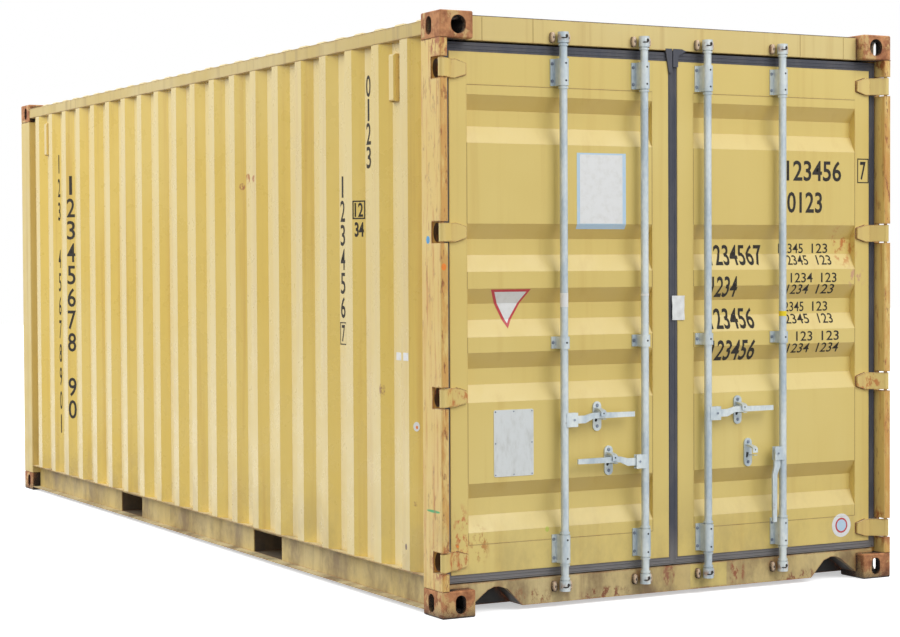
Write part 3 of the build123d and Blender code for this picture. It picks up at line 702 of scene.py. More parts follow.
class Finish(Enum):
    """Every finish of the container."""

    WALL = PaintFinish(
        "wall_paint", srgb(227, 195, 92), srgb(231, 204, 116), srgb(204, 164, 74), 0.35, 0.25, 0.7, 0.4, 0.3,
        chalk=0.42,
        stains=(
            Stain((0.831, -1.19, 1.957), (0.03, 0.05, 0.030), srgb(176, 104, 48), 0.2),
            Stain((0.995, -1.19, 1.951), (0.03, 0.05, 0.022), srgb(176, 110, 56), 0.3),
            Stain((0.786, -1.19, 1.918), (0.02, 0.05, 0.020), srgb(168, 104, 54), 0.3),
            Stain((2.60, -1.19, 1.80), (0.02, 0.05, 0.016), srgb(150, 100, 60), 0.2),
            Stain((2.44, -1.19, 0.95), (0.02, 0.05, 0.035), srgb(150, 104, 66), 0.2),
            Stain((2.746, -1.20, 0.467), (0.016, 0.05, 0.012), srgb(150, 96, 56), 0.2),
            Stain((2.680, -1.21, 0.272), (0.009, 0.03, 0.014), srgb(92, 62, 44)),
        ),
    )
    ROOF = PaintFinish(
        "roof_paint", srgb(212, 190, 120), srgb(228, 212, 158), srgb(176, 146, 88), 0.6, 0.3, 0.3, 0.0, 0.6,
    )
    FRAME = PaintFinish(
        "frame_paint", srgb(216, 192, 122), srgb(228, 210, 148), srgb(190, 156, 90), 0.7, 0.8, 0.6, 0.6,
    )
    POST = PaintFinish(
        "post_paint", srgb(226, 194, 114), srgb(234, 208, 138), srgb(206, 148, 72), 1.0, 1.0, 1.0, 0.5,
        peel=0.85, stains=post_stains(),
    )
    DOOR = PaintFinish(
        "door_paint", srgb(221, 195, 112), srgb(230, 208, 130), srgb(196, 156, 72),
        0.12, 0.25, 0.3, 0.4, 0.42,
        stains=(
            Stain((2.94, 1.00, 1.60), (0.06, 0.09, 0.13), srgb(196, 122, 56), 0.9),
            Stain((2.96, -1.09, 0.33), (0.06, 0.05, 0.16), srgb(196, 116, 60), 0.7),
            Stain((2.96, -1.00, 0.30), (0.06, 0.06, 0.10), srgb(190, 136, 70), 1.0),
            Stain((2.96, 1.05, 1.44), (0.06, 0.08, 0.06), srgb(206, 160, 120), 0.9),
            Stain((2.96, -0.66, 0.345), (0.01, 0.010, 0.012), srgb(196, 200, 90)),
        ),
    )
    HINGE = PaintFinish(
        "hinge_paint", srgb(218, 190, 112), srgb(228, 206, 134), srgb(186, 140, 84),
        0.8, 0.8, 0.5, 0.3, 0.5, 0.9,
        stains=(
            Stain((2.98, -1.09, 0.238), (0.06, 0.09, 0.07), srgb(192, 112, 56), 0.35),
            Stain((2.98, -1.12, 0.943), (0.06, 0.11, 0.07), srgb(196, 128, 66), 0.75),
            Stain((2.98, 1.12, 0.943), (0.06, 0.11, 0.07), srgb(196, 128, 66), 0.85),
        ),
    )
    RAIL = PaintFinish(
        "rail_paint", srgb(202, 177, 108), srgb(214, 196, 146), srgb(150, 124, 88), 0.8, 0.6, 0.6, 0.9, 0.6,
    )
    SILL = PaintFinish(
        "sill_paint", srgb(208, 182, 118), srgb(216, 198, 150), srgb(150, 118, 78),
        1.0, 0.8, 0.7, 1.0, 0.6, 0.7,
        stains=(
            # Near-black patches of painted shade on the backing inside the sill's arches.
            Stain((2.80, -0.90, 0.03), (0.162, 0.30, 0.12), srgb(24, 21, 18)),
            Stain((2.80, 0.90, 0.03), (0.162, 0.30, 0.12), srgb(24, 21, 18)),
            Stain((2.968, -0.02, 0.10), (0.02, 0.035, 0.06), srgb(150, 98, 70), 0.3),
            Stain((2.968, 0.36, 0.08), (0.02, 0.05, 0.08), srgb(150, 90, 60), 0.6),
            Stain((2.968, -0.36, 0.04), (0.02, 0.16, 0.035), srgb(128, 74, 48), 0.7),
            Stain((2.968, -0.80, 0.05), (0.02, 0.20, 0.05), srgb(150, 104, 66), 0.7),
            Stain((2.968, 0.75, 0.03), (0.02, 0.20, 0.04), srgb(134, 80, 52), 0.8),
        ),
    )
    BASE = PaintFinish(
        "base_paint", srgb(84, 72, 58), srgb(100, 88, 72), srgb(62, 50, 40), 1.0, 0.5, 0.4, 1.0, 0.75,
        dust=srgb(110, 98, 80),
    )
    FRESH = PaintFinish(
        "fresh_paint", srgb(222, 198, 116), srgb(230, 210, 140), srgb(196, 160, 80), 0.5, 0.3, 0.6,
    )
    SEAM = PaintFinish(
        "seam_paint", srgb(164, 136, 78), srgb(184, 156, 96), srgb(122, 86, 48), 1.0, 0.0, 0.8, 0.3, 0.6,
        dust=srgb(160, 134, 84),
    )
    CASTING = RustFinish("casting_paint", srgb(204, 166, 106), 0.42)
    KEEPER = RustFinish("keeper_steel", srgb(222, 198, 168), 0.75)
    WELD = RustFinish("weld_bead", srgb(206, 172, 104))
    ZINC = ZincFinish("bar_zinc", stains=cam_eyes())
    BOLT = ZincFinish("bolt_zinc", srgb(142, 152, 166), srgb(98, 106, 122), 0.4)
    # Near-black finish of painted shade for holes, dimples, openings and a groove, built on the rubber
    # finish.
    HOLE = RubberFinish("hole_black", srgb(24, 24, 28), srgb(40, 38, 38))
    SEAL = RubberFinish("seal_rubber")
    PLY = PlyFinish("floor_ply")
    PLATE = SheetFinish(
        "plate_metal", srgb(214, 217, 216), srgb(184, 184, 176), 0.5, 0.45, 0.1, (26.0, 26.0, 12.0),
    )
    INK = SheetFinish("black_paint", srgb(34, 30, 26), srgb(74, 64, 44), 0.5, 0.8)
    WHITE_FILM = SheetFinish("white_film", srgb(232, 232, 230), srgb(206, 204, 196), 0.4, 0.35)
    BLUE_TAPE = SheetFinish("pale_blue_tape", srgb(186, 212, 232), srgb(210, 220, 226), 0.5, 0.35)
    RED_FILM = SheetFinish("red_film", srgb(190, 52, 58), srgb(204, 96, 90), 0.4, 0.4)
    YELLOW_TAPE = SheetFinish("yellow_tape", srgb(240, 212, 24), srgb(220, 190, 40), 0.4, 0.4)
    ORANGE_FILM = SheetFinish("orange_film", srgb(236, 132, 40), srgb(220, 140, 80), 0.4, 0.4)

    def material(self) -> bpy.types.Material:
        """Build this finish's material the first time, and find it again later.

        Returns:
            The material.
        """
        found = bpy.data.materials.get(f"{self.value.name}_finish")
        if found is None:
            found = self.value.build()
            found.name = f"{self.value.name}_finish"
        return found


NODE_FINISHES: dict[str, Finish] = {
    "corner_castings": Finish.CASTING, "bottom_rail": Finish.RAIL, "cross_members": Finish.BASE,
    "forklift_pockets": Finish.BASE, "floor_boards": Finish.PLY, "door_sill": Finish.SILL,
    "door_header": Finish.FRAME, "door_post": Finish.POST, "front_post": Finish.FRAME,
    "front_sill": Finish.RAIL, "front_header": Finish.FRAME, "front_wall": Finish.WALL,
    "side_wall": Finish.WALL, "top_rail": Finish.RAIL, "roof_panel": Finish.ROOF,
    "side_vents": Finish.WALL, "hinge_lugs": Finish.HINGE, "cam_keepers": Finish.KEEPER,
    "door_frame": Finish.DOOR, "door_panel": Finish.DOOR, "door_gasket": Finish.SEAL,
    "hinge_blades": Finish.HINGE, "bar_brackets": Finish.ZINC, "handle_catches": Finish.ZINC,
    "data_plate": Finish.PLATE, "locking_bar": Finish.ZINC, "handle": Finish.ZINC,
}


def dress_nodes(nodes: dict[str, bpy.types.Object]) -> None:
    """Give every CAD node its finish.

    Args:
        nodes: The CAD nodes by name.
    """
    for name, node in nodes.items():
        fits = [prefix for prefix in NODE_FINISHES if name.startswith(prefix)]
        material = NODE_FINISHES[max(fits, key=len)].material()
        for place in node.material_slots:
            place.material = material
        LOG.info("dressed %s", name)


def keep(name: str, mesh: bpy.types.Mesh, body: str, finishes: list[Finish], slot: str) -> bpy.types.Object:
    """Make a finished mesh a piece of the object.

    Args:
        name: The piece's name.
        mesh: Its mesh, in the row frame.
        body: The CAD body that it rides on.
        finishes: Its finishes, in the order of its material indexes.
        slot: The record's slot; not used.

    Returns:
        The new object.
    """
    mesh.name = name
    if mesh.materials:
        mesh.materials.clear()
    for finish in finishes:
        mesh.materials.append(finish.material())
    piece = bpy.data.objects.new(name, mesh)
    bpy.context.scene.collection.objects.link(piece)
    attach(piece, body)
    LOG.info("%s: %d faces on %s", name, len(mesh.polygons), body)
    return piece


@dataclass(frozen=True)
class Spot:
    """One place where a repeated shape sits."""

    place: Point
    aim: Axis
    size: float = 1.0


@dataclass(frozen=True)
class Head:
    """Small turned or forged shape that points along its own +Z: rings of (radius, height)."""

    name: str
    rings: tuple[Pair, ...]
    sides: int = 8

    def mesh(self) -> bpy.types.Mesh:
        """Build the shape.

        Returns:
            A mesh in metres with its back open on Z = 0.
        """
        shape = bmesh.new()
        turns = [math.tau * step / self.sides for step in range(self.sides)]
        loops = []
        for radius, height in self.rings:
            places = [(radius * math.cos(turn), radius * math.sin(turn), height) for turn in turns]
            loops.append([shape.verts.new(place) for place in places])
        for low, high in zip(loops, loops[1:]):
            for step in range(self.sides):
                after = (step + 1) % self.sides
                shape.faces.new((low[step], low[after], high[after], high[step]))
        shape.faces.new(loops[-1])
        mesh = bpy.data.meshes.new(self.name)
        shape.to_mesh(mesh)
        shape.free()
        return mesh


RIVET = Head("rivet", ((0.0070, 0.0), (0.0066, 0.0018), (0.0046, 0.0036), (0.0018, 0.0043)))
BOLT = Head(
    "bolt", ((0.0095, 0.0), (0.0095, 0.0012), (0.0075, 0.0013), (0.0072, 0.0048), (0.0060, 0.0056)), 6,
)
# Thin disc that carries the painted shade of a hole.
HOLE = Head("hole", ((0.0050, -0.0006), (0.0046, 0.0002)), 12)
SCREW = Head("screw", ((0.0060, -0.0004), (0.0056, 0.0004), (0.0024, 0.0001)))
RIPPLE = Head("ripple", ((0.0042, -0.0006), (0.0036, 0.0012), (0.0018, 0.0022)), 6)


class Repeater:
    """Geometry Nodes tree that sets one shape on every point of a mesh."""

    def __init__(self) -> None:
        """Build the tree once: points in, copies of random size out, realized and coated."""
        group = bpy.data.node_groups.new("repeater", "GeometryNodeTree")
        self.group = group
        self.ports = {}
        kinds = {
            "Points": "Geometry", "Shape": "Object", "Material": "Material", "Wobble": "Float", "Seed": "Int",
        }
        for name, kind in kinds.items():
            port = group.interface.new_socket(name=name, in_out="INPUT", socket_type=f"NodeSocket{kind}")
            self.ports[name] = port.identifier
        group.interface.new_socket(name="Result", in_out="OUTPUT", socket_type="NodeSocketGeometry")
        tree = Tree(group)
        given = tree.add("NodeGroupInput", {}).outputs
        source = tree.add("GeometryNodeObjectInfo", {"Object": given["Shape"]})
        lowest = tree.math("SUBTRACT", 1.0, given["Wobble"], clamp=False)
        highest = tree.math("ADD", 1.0, given["Wobble"], clamp=False)
        spread = tree.add("FunctionNodeRandomValue", {2: lowest, 3: highest, "Seed": given["Seed"]})
        size = tree.math("MULTIPLY", spread.outputs[1], self.attribute("size", "FLOAT"), clamp=False)
        copies = tree.add("GeometryNodeInstanceOnPoints", {
            "Points": given["Points"], "Instance": source.outputs["Geometry"],
            "Rotation": self.attribute("aim", "FLOAT_VECTOR"), "Scale": size,
        })
        solid = tree.add("GeometryNodeRealizeInstances", {"Geometry": copies.outputs["Instances"]})
        coat = {"Geometry": solid.outputs["Geometry"], "Material": given["Material"]}
        coated = tree.add("GeometryNodeSetMaterial", coat)
        tree.add("NodeGroupOutput", {"Result": coated.outputs["Geometry"]})

    def attribute(self, name: str, kind: str) -> Socket:
        """Return an attribute of the points.

        Args:
            name: The attribute's name.
            kind: Its data type.

        Returns:
            The value socket.
        """
        node = self.group.nodes.new("GeometryNodeInputNamedAttribute")
        node.data_type = kind
        node.inputs["Name"].default_value = name
        return node.outputs["Attribute"]

    def spread(
        self, name: str, spots: list[Spot], head: Head, finish: Finish, body: str, slot: str,
        wobble: float = 0.0, seed: int = 1,
    ) -> bpy.types.Object:
        """Set one head on every spot and keep the result as one piece.

        Args:
            name: The piece's name.
            spots: Where the heads sit.
            head: The head's shape.
            finish: Its finish.
            body: The CAD body that the piece rides on.
            slot: The record's slot.
            wobble: Random share by which the sizes differ.
            seed: Seed of the random sizes.

        Returns:
            The kept piece.
        """
        points = bpy.data.meshes.new(f"{name}_points")
        points.from_pydata([spot.place for spot in spots], [], [])
        points.attributes.new("aim", "FLOAT_VECTOR", "POINT")
        points.attributes.new("size", "FLOAT", "POINT")
        for index, spot in enumerate(spots):
            points.attributes["aim"].data[index].vector = spot.aim.value
            points.attributes["size"].data[index].value = spot.size
        carrier = bpy.data.objects.new(f"{name}_carrier", points)
        sample = bpy.data.objects.new(f"{name}_head", head.mesh())
        for thing in (carrier, sample):
            bpy.context.scene.collection.objects.link(thing)
        modifier = carrier.modifiers.new("repeat", "NODES")
        modifier.node_group = self.group
        given = {"Shape": sample, "Material": finish.material(), "Wobble": wobble, "Seed": seed}
        for port, value in given.items():
            modifier[self.ports[port]] = value
        carrier.update_tag()
        view = bpy.context.evaluated_depsgraph_get()
        mesh = bpy.data.meshes.new_from_object(carrier.evaluated_get(view))
        carrier.modifiers.remove(modifier)
        bpy.data.objects.remove(carrier)
        bpy.data.objects.remove(sample)
        return keep(name, mesh, body, [finish], slot)


@dataclass
class DoorFasteners:
    """Bolts, holes and rivets on the straps, the catches and the data plate of one door."""

    side: Side
    repeater: Repeater
    crown: float = 3.0288
    wing: Point = (LEAF_FACE + 0.006, 0.035, 0.85)
    inset: float = 0.021
    tall: float = 0.08
    catch_shifts: Range = (-0.045, 0.048)
    plate_front: float = LEAF_FACE + 0.002
    plate_across: tuple[float, ...] = (-0.920, -0.8285, -0.737)
    plate_levels: Levels = (0.596, 0.7335, 0.871)

    def strap_spots(self) -> tuple[list[Spot], list[Spot]]:
        """Return the places on the straps of both bars.

        Returns:
            The bolts in the straps' wings, and the holes in their crowns.
        """
        bolts: list[Spot] = []
        holes: list[Spot] = []
        front, beside, size = self.wing
        for index in self.side.bars:
            for low, high in STRAPS:
                levels = [low + self.inset, high - self.inset]
                if high - low <= self.tall:
                    levels = [(low + high) / 2]
                for level in levels:
                    holes.append(Spot((self.crown, BAR_Y[index], level), Axis.PLUS_X))
                    bolts.append(Spot((front, BAR_Y[index] - beside, level), Axis.PLUS_X, size))
        return bolts, holes

    def rivet_spots(self) -> list[Spot]:
        """Return the rivets of the catches, and on the left door those round the data plate.

        Returns:
            The rivets.
        """
        rivets: list[Spot] = []
        for index in self.side.bars:
            for shift in self.catch_shifts:
                level = PIVOTS[index] + CATCH_RISE + shift
                rivets.append(Spot((LEAF_FACE + CATCH_PLATE, CATCHES[index], level), Axis.PLUS_X, 1.15))
        if self.side is Side.LEFT:
            middle = (self.plate_across[1], self.plate_levels[1])
            places = [(y, z) for y in self.plate_across for z in self.plate_levels if (y, z) != middle]
            rivets += [Spot((self.plate_front, y, z), Axis.PLUS_X, 0.5) for y, z in places]
        return rivets

    def build(self) -> None:
        """Set all of them, one piece for each kind."""
        word = self.side.word
        body = f"door_{word}_leaf"
        bolts, holes = self.strap_spots()
        rivets = self.rivet_spots()
        self.repeater.spread(f"strap_bolts_{word}", bolts, BOLT, Finish.BOLT, body, "bar_zinc", 0.05, 3)
        self.repeater.spread(f"catch_rivets_{word}", rivets, RIVET, Finish.BOLT, body, "bar_zinc", 0.05, 5)
        # Strap holes: thin dark discs of painted shade.
        self.repeater.spread(f"strap_holes_{word}", holes, HOLE, Finish.HOLE, body, "bar_zinc")


@dataclass
class BodyFasteners:
    """Floor screws and the rivets of the vent covers."""

    repeater: Repeater
    floor_top: float = 0.173
    floor_half: float = 1.12
    rows: int = 16
    beams: tuple[float, ...] = (0.14, 0.42, 0.70, 1.35, 1.628, 1.906, 2.184, 2.462, 2.74)
    beam_shift: float = 0.022
    vent_face: float = 1.1781
    vents: Range = (-2.538, 2.538)
    vent_levels: Levels = (2.250, 2.340, 2.431)
    vent_shifts: Range = (-0.035, 0.035)

    def screws(self) -> list[Spot]:
        """Return a row of screws over every cross member.

        Returns:
            The screws.
        """
        spots: list[Spot] = []
        for beam in self.beams:
            for way in (-1, 1):
                for row in range(self.rows):
                    across = -self.floor_half + 2 * self.floor_half * (row + 0.5) / self.rows
                    spots.append(Spot((way * (beam + self.beam_shift), across, self.floor_top), Axis.PLUS_Z))
        return spots

    def rivets(self) -> list[Spot]:
        """Return the rivets of the four vent covers.

        Returns:
            The rivets.
        """
        spots: list[Spot] = []
        for vent in self.vents:
            for level in self.vent_levels:
                for shift in self.vent_shifts:
                    spots.append(Spot((vent + shift, -self.vent_face, level), Axis.MINUS_Y, 0.7))
                    spots.append(Spot((vent + shift, self.vent_face, level), Axis.PLUS_Y, 0.7))
        return spots

    def build(self) -> None:
        """Set both kinds."""
        spread = self.repeater.spread
        spread("floor_screws", self.screws(), SCREW, Finish.BOLT, "container", "floor_ply", 0.06, 8)
        spread("vent_rivets", self.rivets(), RIVET, Finish.SEAM, "container", "wall_paint", 0.05, 9)


@dataclass(frozen=True)
class Face:
    """Flat frame on one face of the box: along and up span it, and out points away from it."""

    origin: Point
    along: Point
    up: Point = (0.0, 0.0, 1.0)

    def at(self, u: float, v: float, out: float = 0.0) -> Vector:
        """Return a point of the frame.

        Args:
            u: Distance along the face.
            v: Height on the face.
            out: Distance in front of the face.

        Returns:
            The point in the row frame.
        """
        along = Vector(self.along)
        up = Vector(self.up)
        return Vector(self.origin) + along * u + up * v + along.cross(up) * out


OUTER = -1.214
SUNK = -1.178
SLOPE = (0.881, 0.473, 0.0)
DOOR_FACE = Face((LEAF_FACE, 0.0, 0.0), (0.0, 1.0, 0.0))
SILL_FACE = Face((2.968, 0.0, 0.0), (0.0, 1.0, 0.0))
SUNK_FACE = Face((0.0, SUNK, 0.0), (1.0, 0.0, 0.0))
OUTER_FACE = Face((0.0, OUTER, 0.0), (1.0, 0.0, 0.0))


@dataclass(frozen=True)
class Profile:
    """Section of a pressed panel: (height, distance in front of the face) at every bend."""

    bends: tuple[Pair, ...] = ()

    def out(self, level: float) -> float:
        """Return the distance in front of the face at one height.

        Args:
            level: The height.

        Returns:
            The distance, negative in a recess.
        """
        for low, high in zip(self.bends, self.bends[1:]):
            if low[0] <= level <= high[0]:
                share = (level - low[0]) / (high[0] - low[0])
                return low[1] + share * (high[1] - low[1])
        return 0.0


FLAT = Profile()
RECESS_DEPTH = 0.036
RECESS_SHARES = (
    (0.0262, 0.0625, 0.1003, 0.1335), (0.3098, 0.3481, 0.3834, 0.4181), (0.4519, 0.4897, 0.5249, 0.5577),
    (0.5945, 0.6312, 0.6660, 0.6992), (0.8741, 0.9108, 0.9461, 0.9788),
)


def pressed_panel() -> Profile:
    """Work out the section of the door panels from their height in the frame.

    Returns:
        The section, from the bottom up.
    """
    low, high = (corner.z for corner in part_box("door_panel_right"))
    bends = [(low, 0.0)]
    for shares in RECESS_SHARES:
        levels = [low + share * (high - low) for share in shares]
        bends += list(zip(levels, (0.0, -RECESS_DEPTH, -RECESS_DEPTH, 0.0)))
    return Profile(tuple(bends))


PRESSED = pressed_panel()


def rectangle(across: Range, levels: Range) -> Flat:
    """Return the four corners of a rectangle, anticlockwise."""
    return [(across[0], levels[0]), (across[1], levels[0]), (across[1], levels[1]), (across[0], levels[1])]


class Sketch:
    """One mesh made of sheets, plates, rings and rods, each with its own finish."""

    film: float = 0.0007

    def __init__(self) -> None:
        """Start empty."""
        self.shape = bmesh.new()
        self.finishes: list[Finish] = []

    def index(self, finish: Finish) -> int:
        """Return the material index of a finish in this mesh.

        Args:
            finish: The finish.

        Returns:
            Its index.
        """
        if finish not in self.finishes:
            self.finishes.append(finish)
        return self.finishes.index(finish)

    def loft(self, loops: list[list[Vector]], finish: Finish, closed: bool = False) -> None:
        """Join loops of equal length, with end faces or round to the first loop.

        Args:
            loops: The loops, each anticlockwise seen from the side of the last one.
            finish: The finish.
            closed: Whether the last loop joins the first.
        """
        rows = [[self.shape.verts.new(point) for point in loop] for loop in loops]
        made = []
        pairs = list(zip(rows, rows[1:]))
        if closed:
            pairs.append((rows[-1], rows[0]))
        else:
            made.append(self.shape.faces.new(rows[0][::-1]))
            made.append(self.shape.faces.new(rows[-1]))
        for low, high in pairs:
            for step in range(len(low)):
                after = (step + 1) % len(low)
                made.append(self.shape.faces.new((low[step], low[after], high[after], high[step])))
        for one in made:
            one.material_index = self.index(finish)

    def plate(self, face: Face, points: Flat, outs: Range, finish: Finish) -> None:
        """Add a plate with an anticlockwise outline, between two distances in front of a face."""
        self.loft([[face.at(u, v, out) for u, v in points] for out in outs], finish)

    def box(self, face: Face, across: Range, levels: Range, outs: Range, finish: Finish) -> None:
        """Add a rectangular plate."""
        self.plate(face, rectangle(across, levels), outs, finish)

    def disc(
        self, face: Face, centre: Pair, radii: Pair, outs: Range, finish: Finish, sides: int = 28,
    ) -> None:
        """Add an oval plate.

        Args:
            face: The face that it lies on.
            centre: Its middle on the face.
            radii: Half its width and half its height.
            outs: Its back and front.
            finish: The finish.
            sides: Number of edges.
        """
        points = []
        for step in range(sides):
            turn = math.tau * step / sides
            points.append((centre[0] + radii[0] * math.cos(turn), centre[1] + radii[1] * math.sin(turn)))
        self.plate(face, points, outs, finish)

    def ring(self, face: Face, centre: Pair, radii: Pair, tube: float, out: float) -> None:
        """Add an oval zinc ring of round stock.

        Args:
            face: The face that it lies on.
            centre: Its middle on the face.
            radii: Half its width and half its height, to the middle of the stock.
            tube: Radius of the stock.
            out: Distance of its middle in front of the face.
        """
        steps = 24
        sides = 8
        loops = []
        for step in range(steps):
            turn = math.tau * step / steps
            loop = []
            for side in range(sides):
                lean = -math.tau * side / sides
                wide = tube * math.cos(lean)
                u = centre[0] + (radii[0] + wide) * math.cos(turn)
                v = centre[1] + (radii[1] + wide) * math.sin(turn)
                loop.append(face.at(u, v, out + tube * math.sin(lean)))
            loops.append(loop)
        self.loft(loops, Finish.ZINC, closed=True)

    def rod(self, start: Point, end: Point, radius: float, finish: Finish, sides: int = 8) -> None:
        """Add a round rod.

        Args:
            start: Middle of one end.
            end: Middle of the other end.
            radius: Its radius.
            finish: The finish.
            sides: Number of sides.
        """
        way = (Vector(end) - Vector(start)).normalized()
        first = way.orthogonal().normalized()
        second = way.cross(first)
        turns = [math.tau * step / sides for step in range(sides)]
        rim = [radius * (math.cos(turn) * first + math.sin(turn) * second) for turn in turns]
        self.loft([[Vector(middle) + point for point in rim] for middle in (start, end)], finish)

    def lay(self, face: Face, flat: bmesh.types.BMesh, profile: Profile, lift: float, finish: Finish) -> None:
        """Lay a flat mesh on a face, bent to the face's section.

        Args:
            face: The face.
            flat: The mesh, with u in X and v in Y; it is used up.
            profile: Section of the face.
            lift: Distance in front of the surface.
            finish: The finish.
        """
        up = (0.0, 1.0, 0.0)
        for level, _ in profile.bends:
            parts = flat.verts[:] + flat.edges[:] + flat.faces[:]
            bmesh.ops.bisect_plane(flat, geom=parts, dist=1e-6, plane_co=(0.0, level, 0.0), plane_no=up)
        twins = {}
        for vert in flat.verts:
            twins[vert] = self.shape.verts.new(face.at(vert.co.x, vert.co.y, lift + profile.out(vert.co.y)))
        for old in flat.faces:
            new = self.shape.faces.new([twins[vert] for vert in old.verts])
            new.material_index = self.index(finish)
        flat.free()

    def sheet(self, face: Face, points: Flat, lift: float, finish: Finish, profile: Profile = FLAT) -> None:
        """Lay a thin sheet with an anticlockwise convex outline.

        Args:
            face: The face.
            points: The outline.
            lift: Distance in front of the surface.
            finish: The finish.
            profile: Section of the face.
        """
        flat = bmesh.new()
        flat.faces.new([flat.verts.new((u, v, 0.0)) for u, v in points])
        self.lay(face, flat, profile, lift, finish)

    def digits(
        self, face: Face, text: str, across: Range, levels: Range,
        profile: Profile = FLAT, weight: float = 0.016,
    ) -> None:
        """Paint a row of plain digits that fills a rectangle.

        Args:
            face: The face.
            text: The digits.
            across: Range along the face.
            levels: Range of heights.
            profile: Section of the face.
            weight: How much the strokes are thickened, as a share of their height.
        """
        curve = bpy.data.curves.new("digits", "FONT")
        curve.body = text
        curve.resolution_u = 3
        curve.offset = weight
        carrier = bpy.data.objects.new("digits", curve)
        bpy.context.scene.collection.objects.link(carrier)
        view = bpy.context.evaluated_depsgraph_get()
        mesh = bpy.data.meshes.new_from_object(carrier.evaluated_get(view))
        bpy.data.objects.remove(carrier)
        flat = bmesh.new()
        flat.from_mesh(mesh)
        bpy.data.meshes.remove(mesh)
        for way, room in enumerate((across, levels)):
            places = [vert.co[way] for vert in flat.verts]
            low, high = min(places), max(places)
            for vert in flat.verts:
                vert.co[way] = room[0] + (vert.co[way] - low) / (high - low) * (room[1] - room[0])
        self.lay(face, flat, profile, self.film, Finish.INK)

    def frame(self, face: Face, across: Range, levels: Range, line: float) -> None:
        """Paint a thin rectangular frame.

        Args:
            face: The face.
            across: Its outer range along the face.
            levels: Its outer range of heights.
            line: Width of the line.
        """
        bars = (
            (across, (levels[0], levels[0] + line)), (across, (levels[1] - line, levels[1])),
            ((across[0], across[0] + line), levels), ((across[1] - line, across[1]), levels),
        )
        for wide, tall in bars:
            self.sheet(face, rectangle(wide, tall), self.film, Finish.INK)

    def keep(self, name: str, body: str, slot: str) -> bpy.types.Object:
        """Make the mesh a piece of the object.

        Args:
            name: The piece's name.
            body: The CAD body that it rides on.
            slot: The record's slot.

        Returns:
            The kept piece.
        """
        mesh = bpy.data.meshes.new(name)
        self.shape.to_mesh(mesh)
        self.shape.free()
        return keep(name, mesh, body, self.finishes, slot)


@dataclass
class Welds:
    """Weld beads round the hinge blades and along the seams of doors, header and posts."""

    repeater: Repeater
    wide: Pair = (1.112, 0.039)
    narrow: Pair = (1.060, 0.023)
    pitch: float = 0.0055
    seam: float = 0.0016
    header_front: float = 2.9676
    header_joints: Range = (0.981, 0.726)
    header_levels: Range = (2.474, 2.577)
    groove: Point = (2.9672, 1.05, 2.5802)
    groove_half: float = 0.0014
    post_side: float = 1.2167
    post_front: Range = (2.946, 3.0285)
    post_ends: Range = (0.118, 2.473)
    post_bead: float = 0.0022
    corner: Pair = (2.945, 1.2172)
    corner_gap: float = 0.01
    corner_bead: float = 0.0015

    def blade(self, side: Side, level: float) -> list[Spot]:
        """Return the ripples round one hinge blade.

        Args:
            side: The door's side.
            level: Height of the hinge.

        Returns:
            The places of the ripples.
        """
        corners = [self.wide, self.narrow, (self.narrow[0], -self.narrow[1]), (self.wide[0], -self.wide[1])]
        spots = []
        for start, end in zip(corners, corners[1:]):
            count = max(2, round(math.dist(start, end) / self.pitch))
            for step in range(count):
                share = step / count
                y = start[0] + share * (end[0] - start[0])
                z = start[1] + share * (end[1] - start[1])
                spots.append(Spot((LEAF_FACE, side.value * y, level + z), Axis.PLUS_X))
        return spots

    def door(self, side: Side) -> None:
        """Weld the blades, and the panel to its frame, on one door.

        Args:
            side: The door's side.
        """
        spots = [spot for level in HINGE_LEVELS for spot in self.blade(side, level)]
        body = f"door_{side.word}_leaf"
        name = f"blade_welds_{side.word}"
        self.repeater.spread(name, spots, RIPPLE, Finish.WELD, body, "hinge_paint", 0.25, 11)
        low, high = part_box(f"door_panel_{side.word}")
        sketch = Sketch()
        x = LEAF_FACE - 0.0006
        for z in (low.z, high.z):
            sketch.rod((x, low.y, z), (x, high.y, z), self.seam, Finish.SEAM)
        for y in (low.y, high.y):
            for bottom, top in zip(PRESSED.bends[::4][:-1], PRESSED.bends[1::4]):
                sketch.rod((x, y, bottom[0]), (x, y, top[0]), self.seam, Finish.SEAM)
        sketch.keep(f"panel_seams_{side.word}", body, "door_paint")

    def body(self) -> None:
        """Weld the joints of the header and the seams of the door posts."""
        sketch = Sketch()
        for side in Side:
            for across in self.header_joints:
                low, high = ((self.header_front, side.value * across, level) for level in self.header_levels)
                sketch.rod(low, high, self.seam, Finish.SEAM)
            for level in self.post_ends:
                back, front = ((x, side.value * self.post_side, level) for x in self.post_front)
                sketch.rod(back, front, self.post_bead, Finish.WELD)
            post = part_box(f"door_post_{side.word}")
            x, y = self.corner[0], side.value * self.corner[1]
            start = (x, y, post[0].z + self.corner_gap)
            end = (x, y, post[1].z - self.corner_gap)
            sketch.rod(start, end, self.corner_bead, Finish.WELD)
        # Near-black line of painted shade in the groove along the header.
        x, half, z = self.groove
        sketch.rod((x, -half, z), (x, half, z), self.groove_half, Finish.HOLE)
        sketch.keep("frame_seams", "container", "frame_paint")

    def build(self) -> None:
        """Weld everything."""
        for side in Side:
            self.door(side)
        self.body()


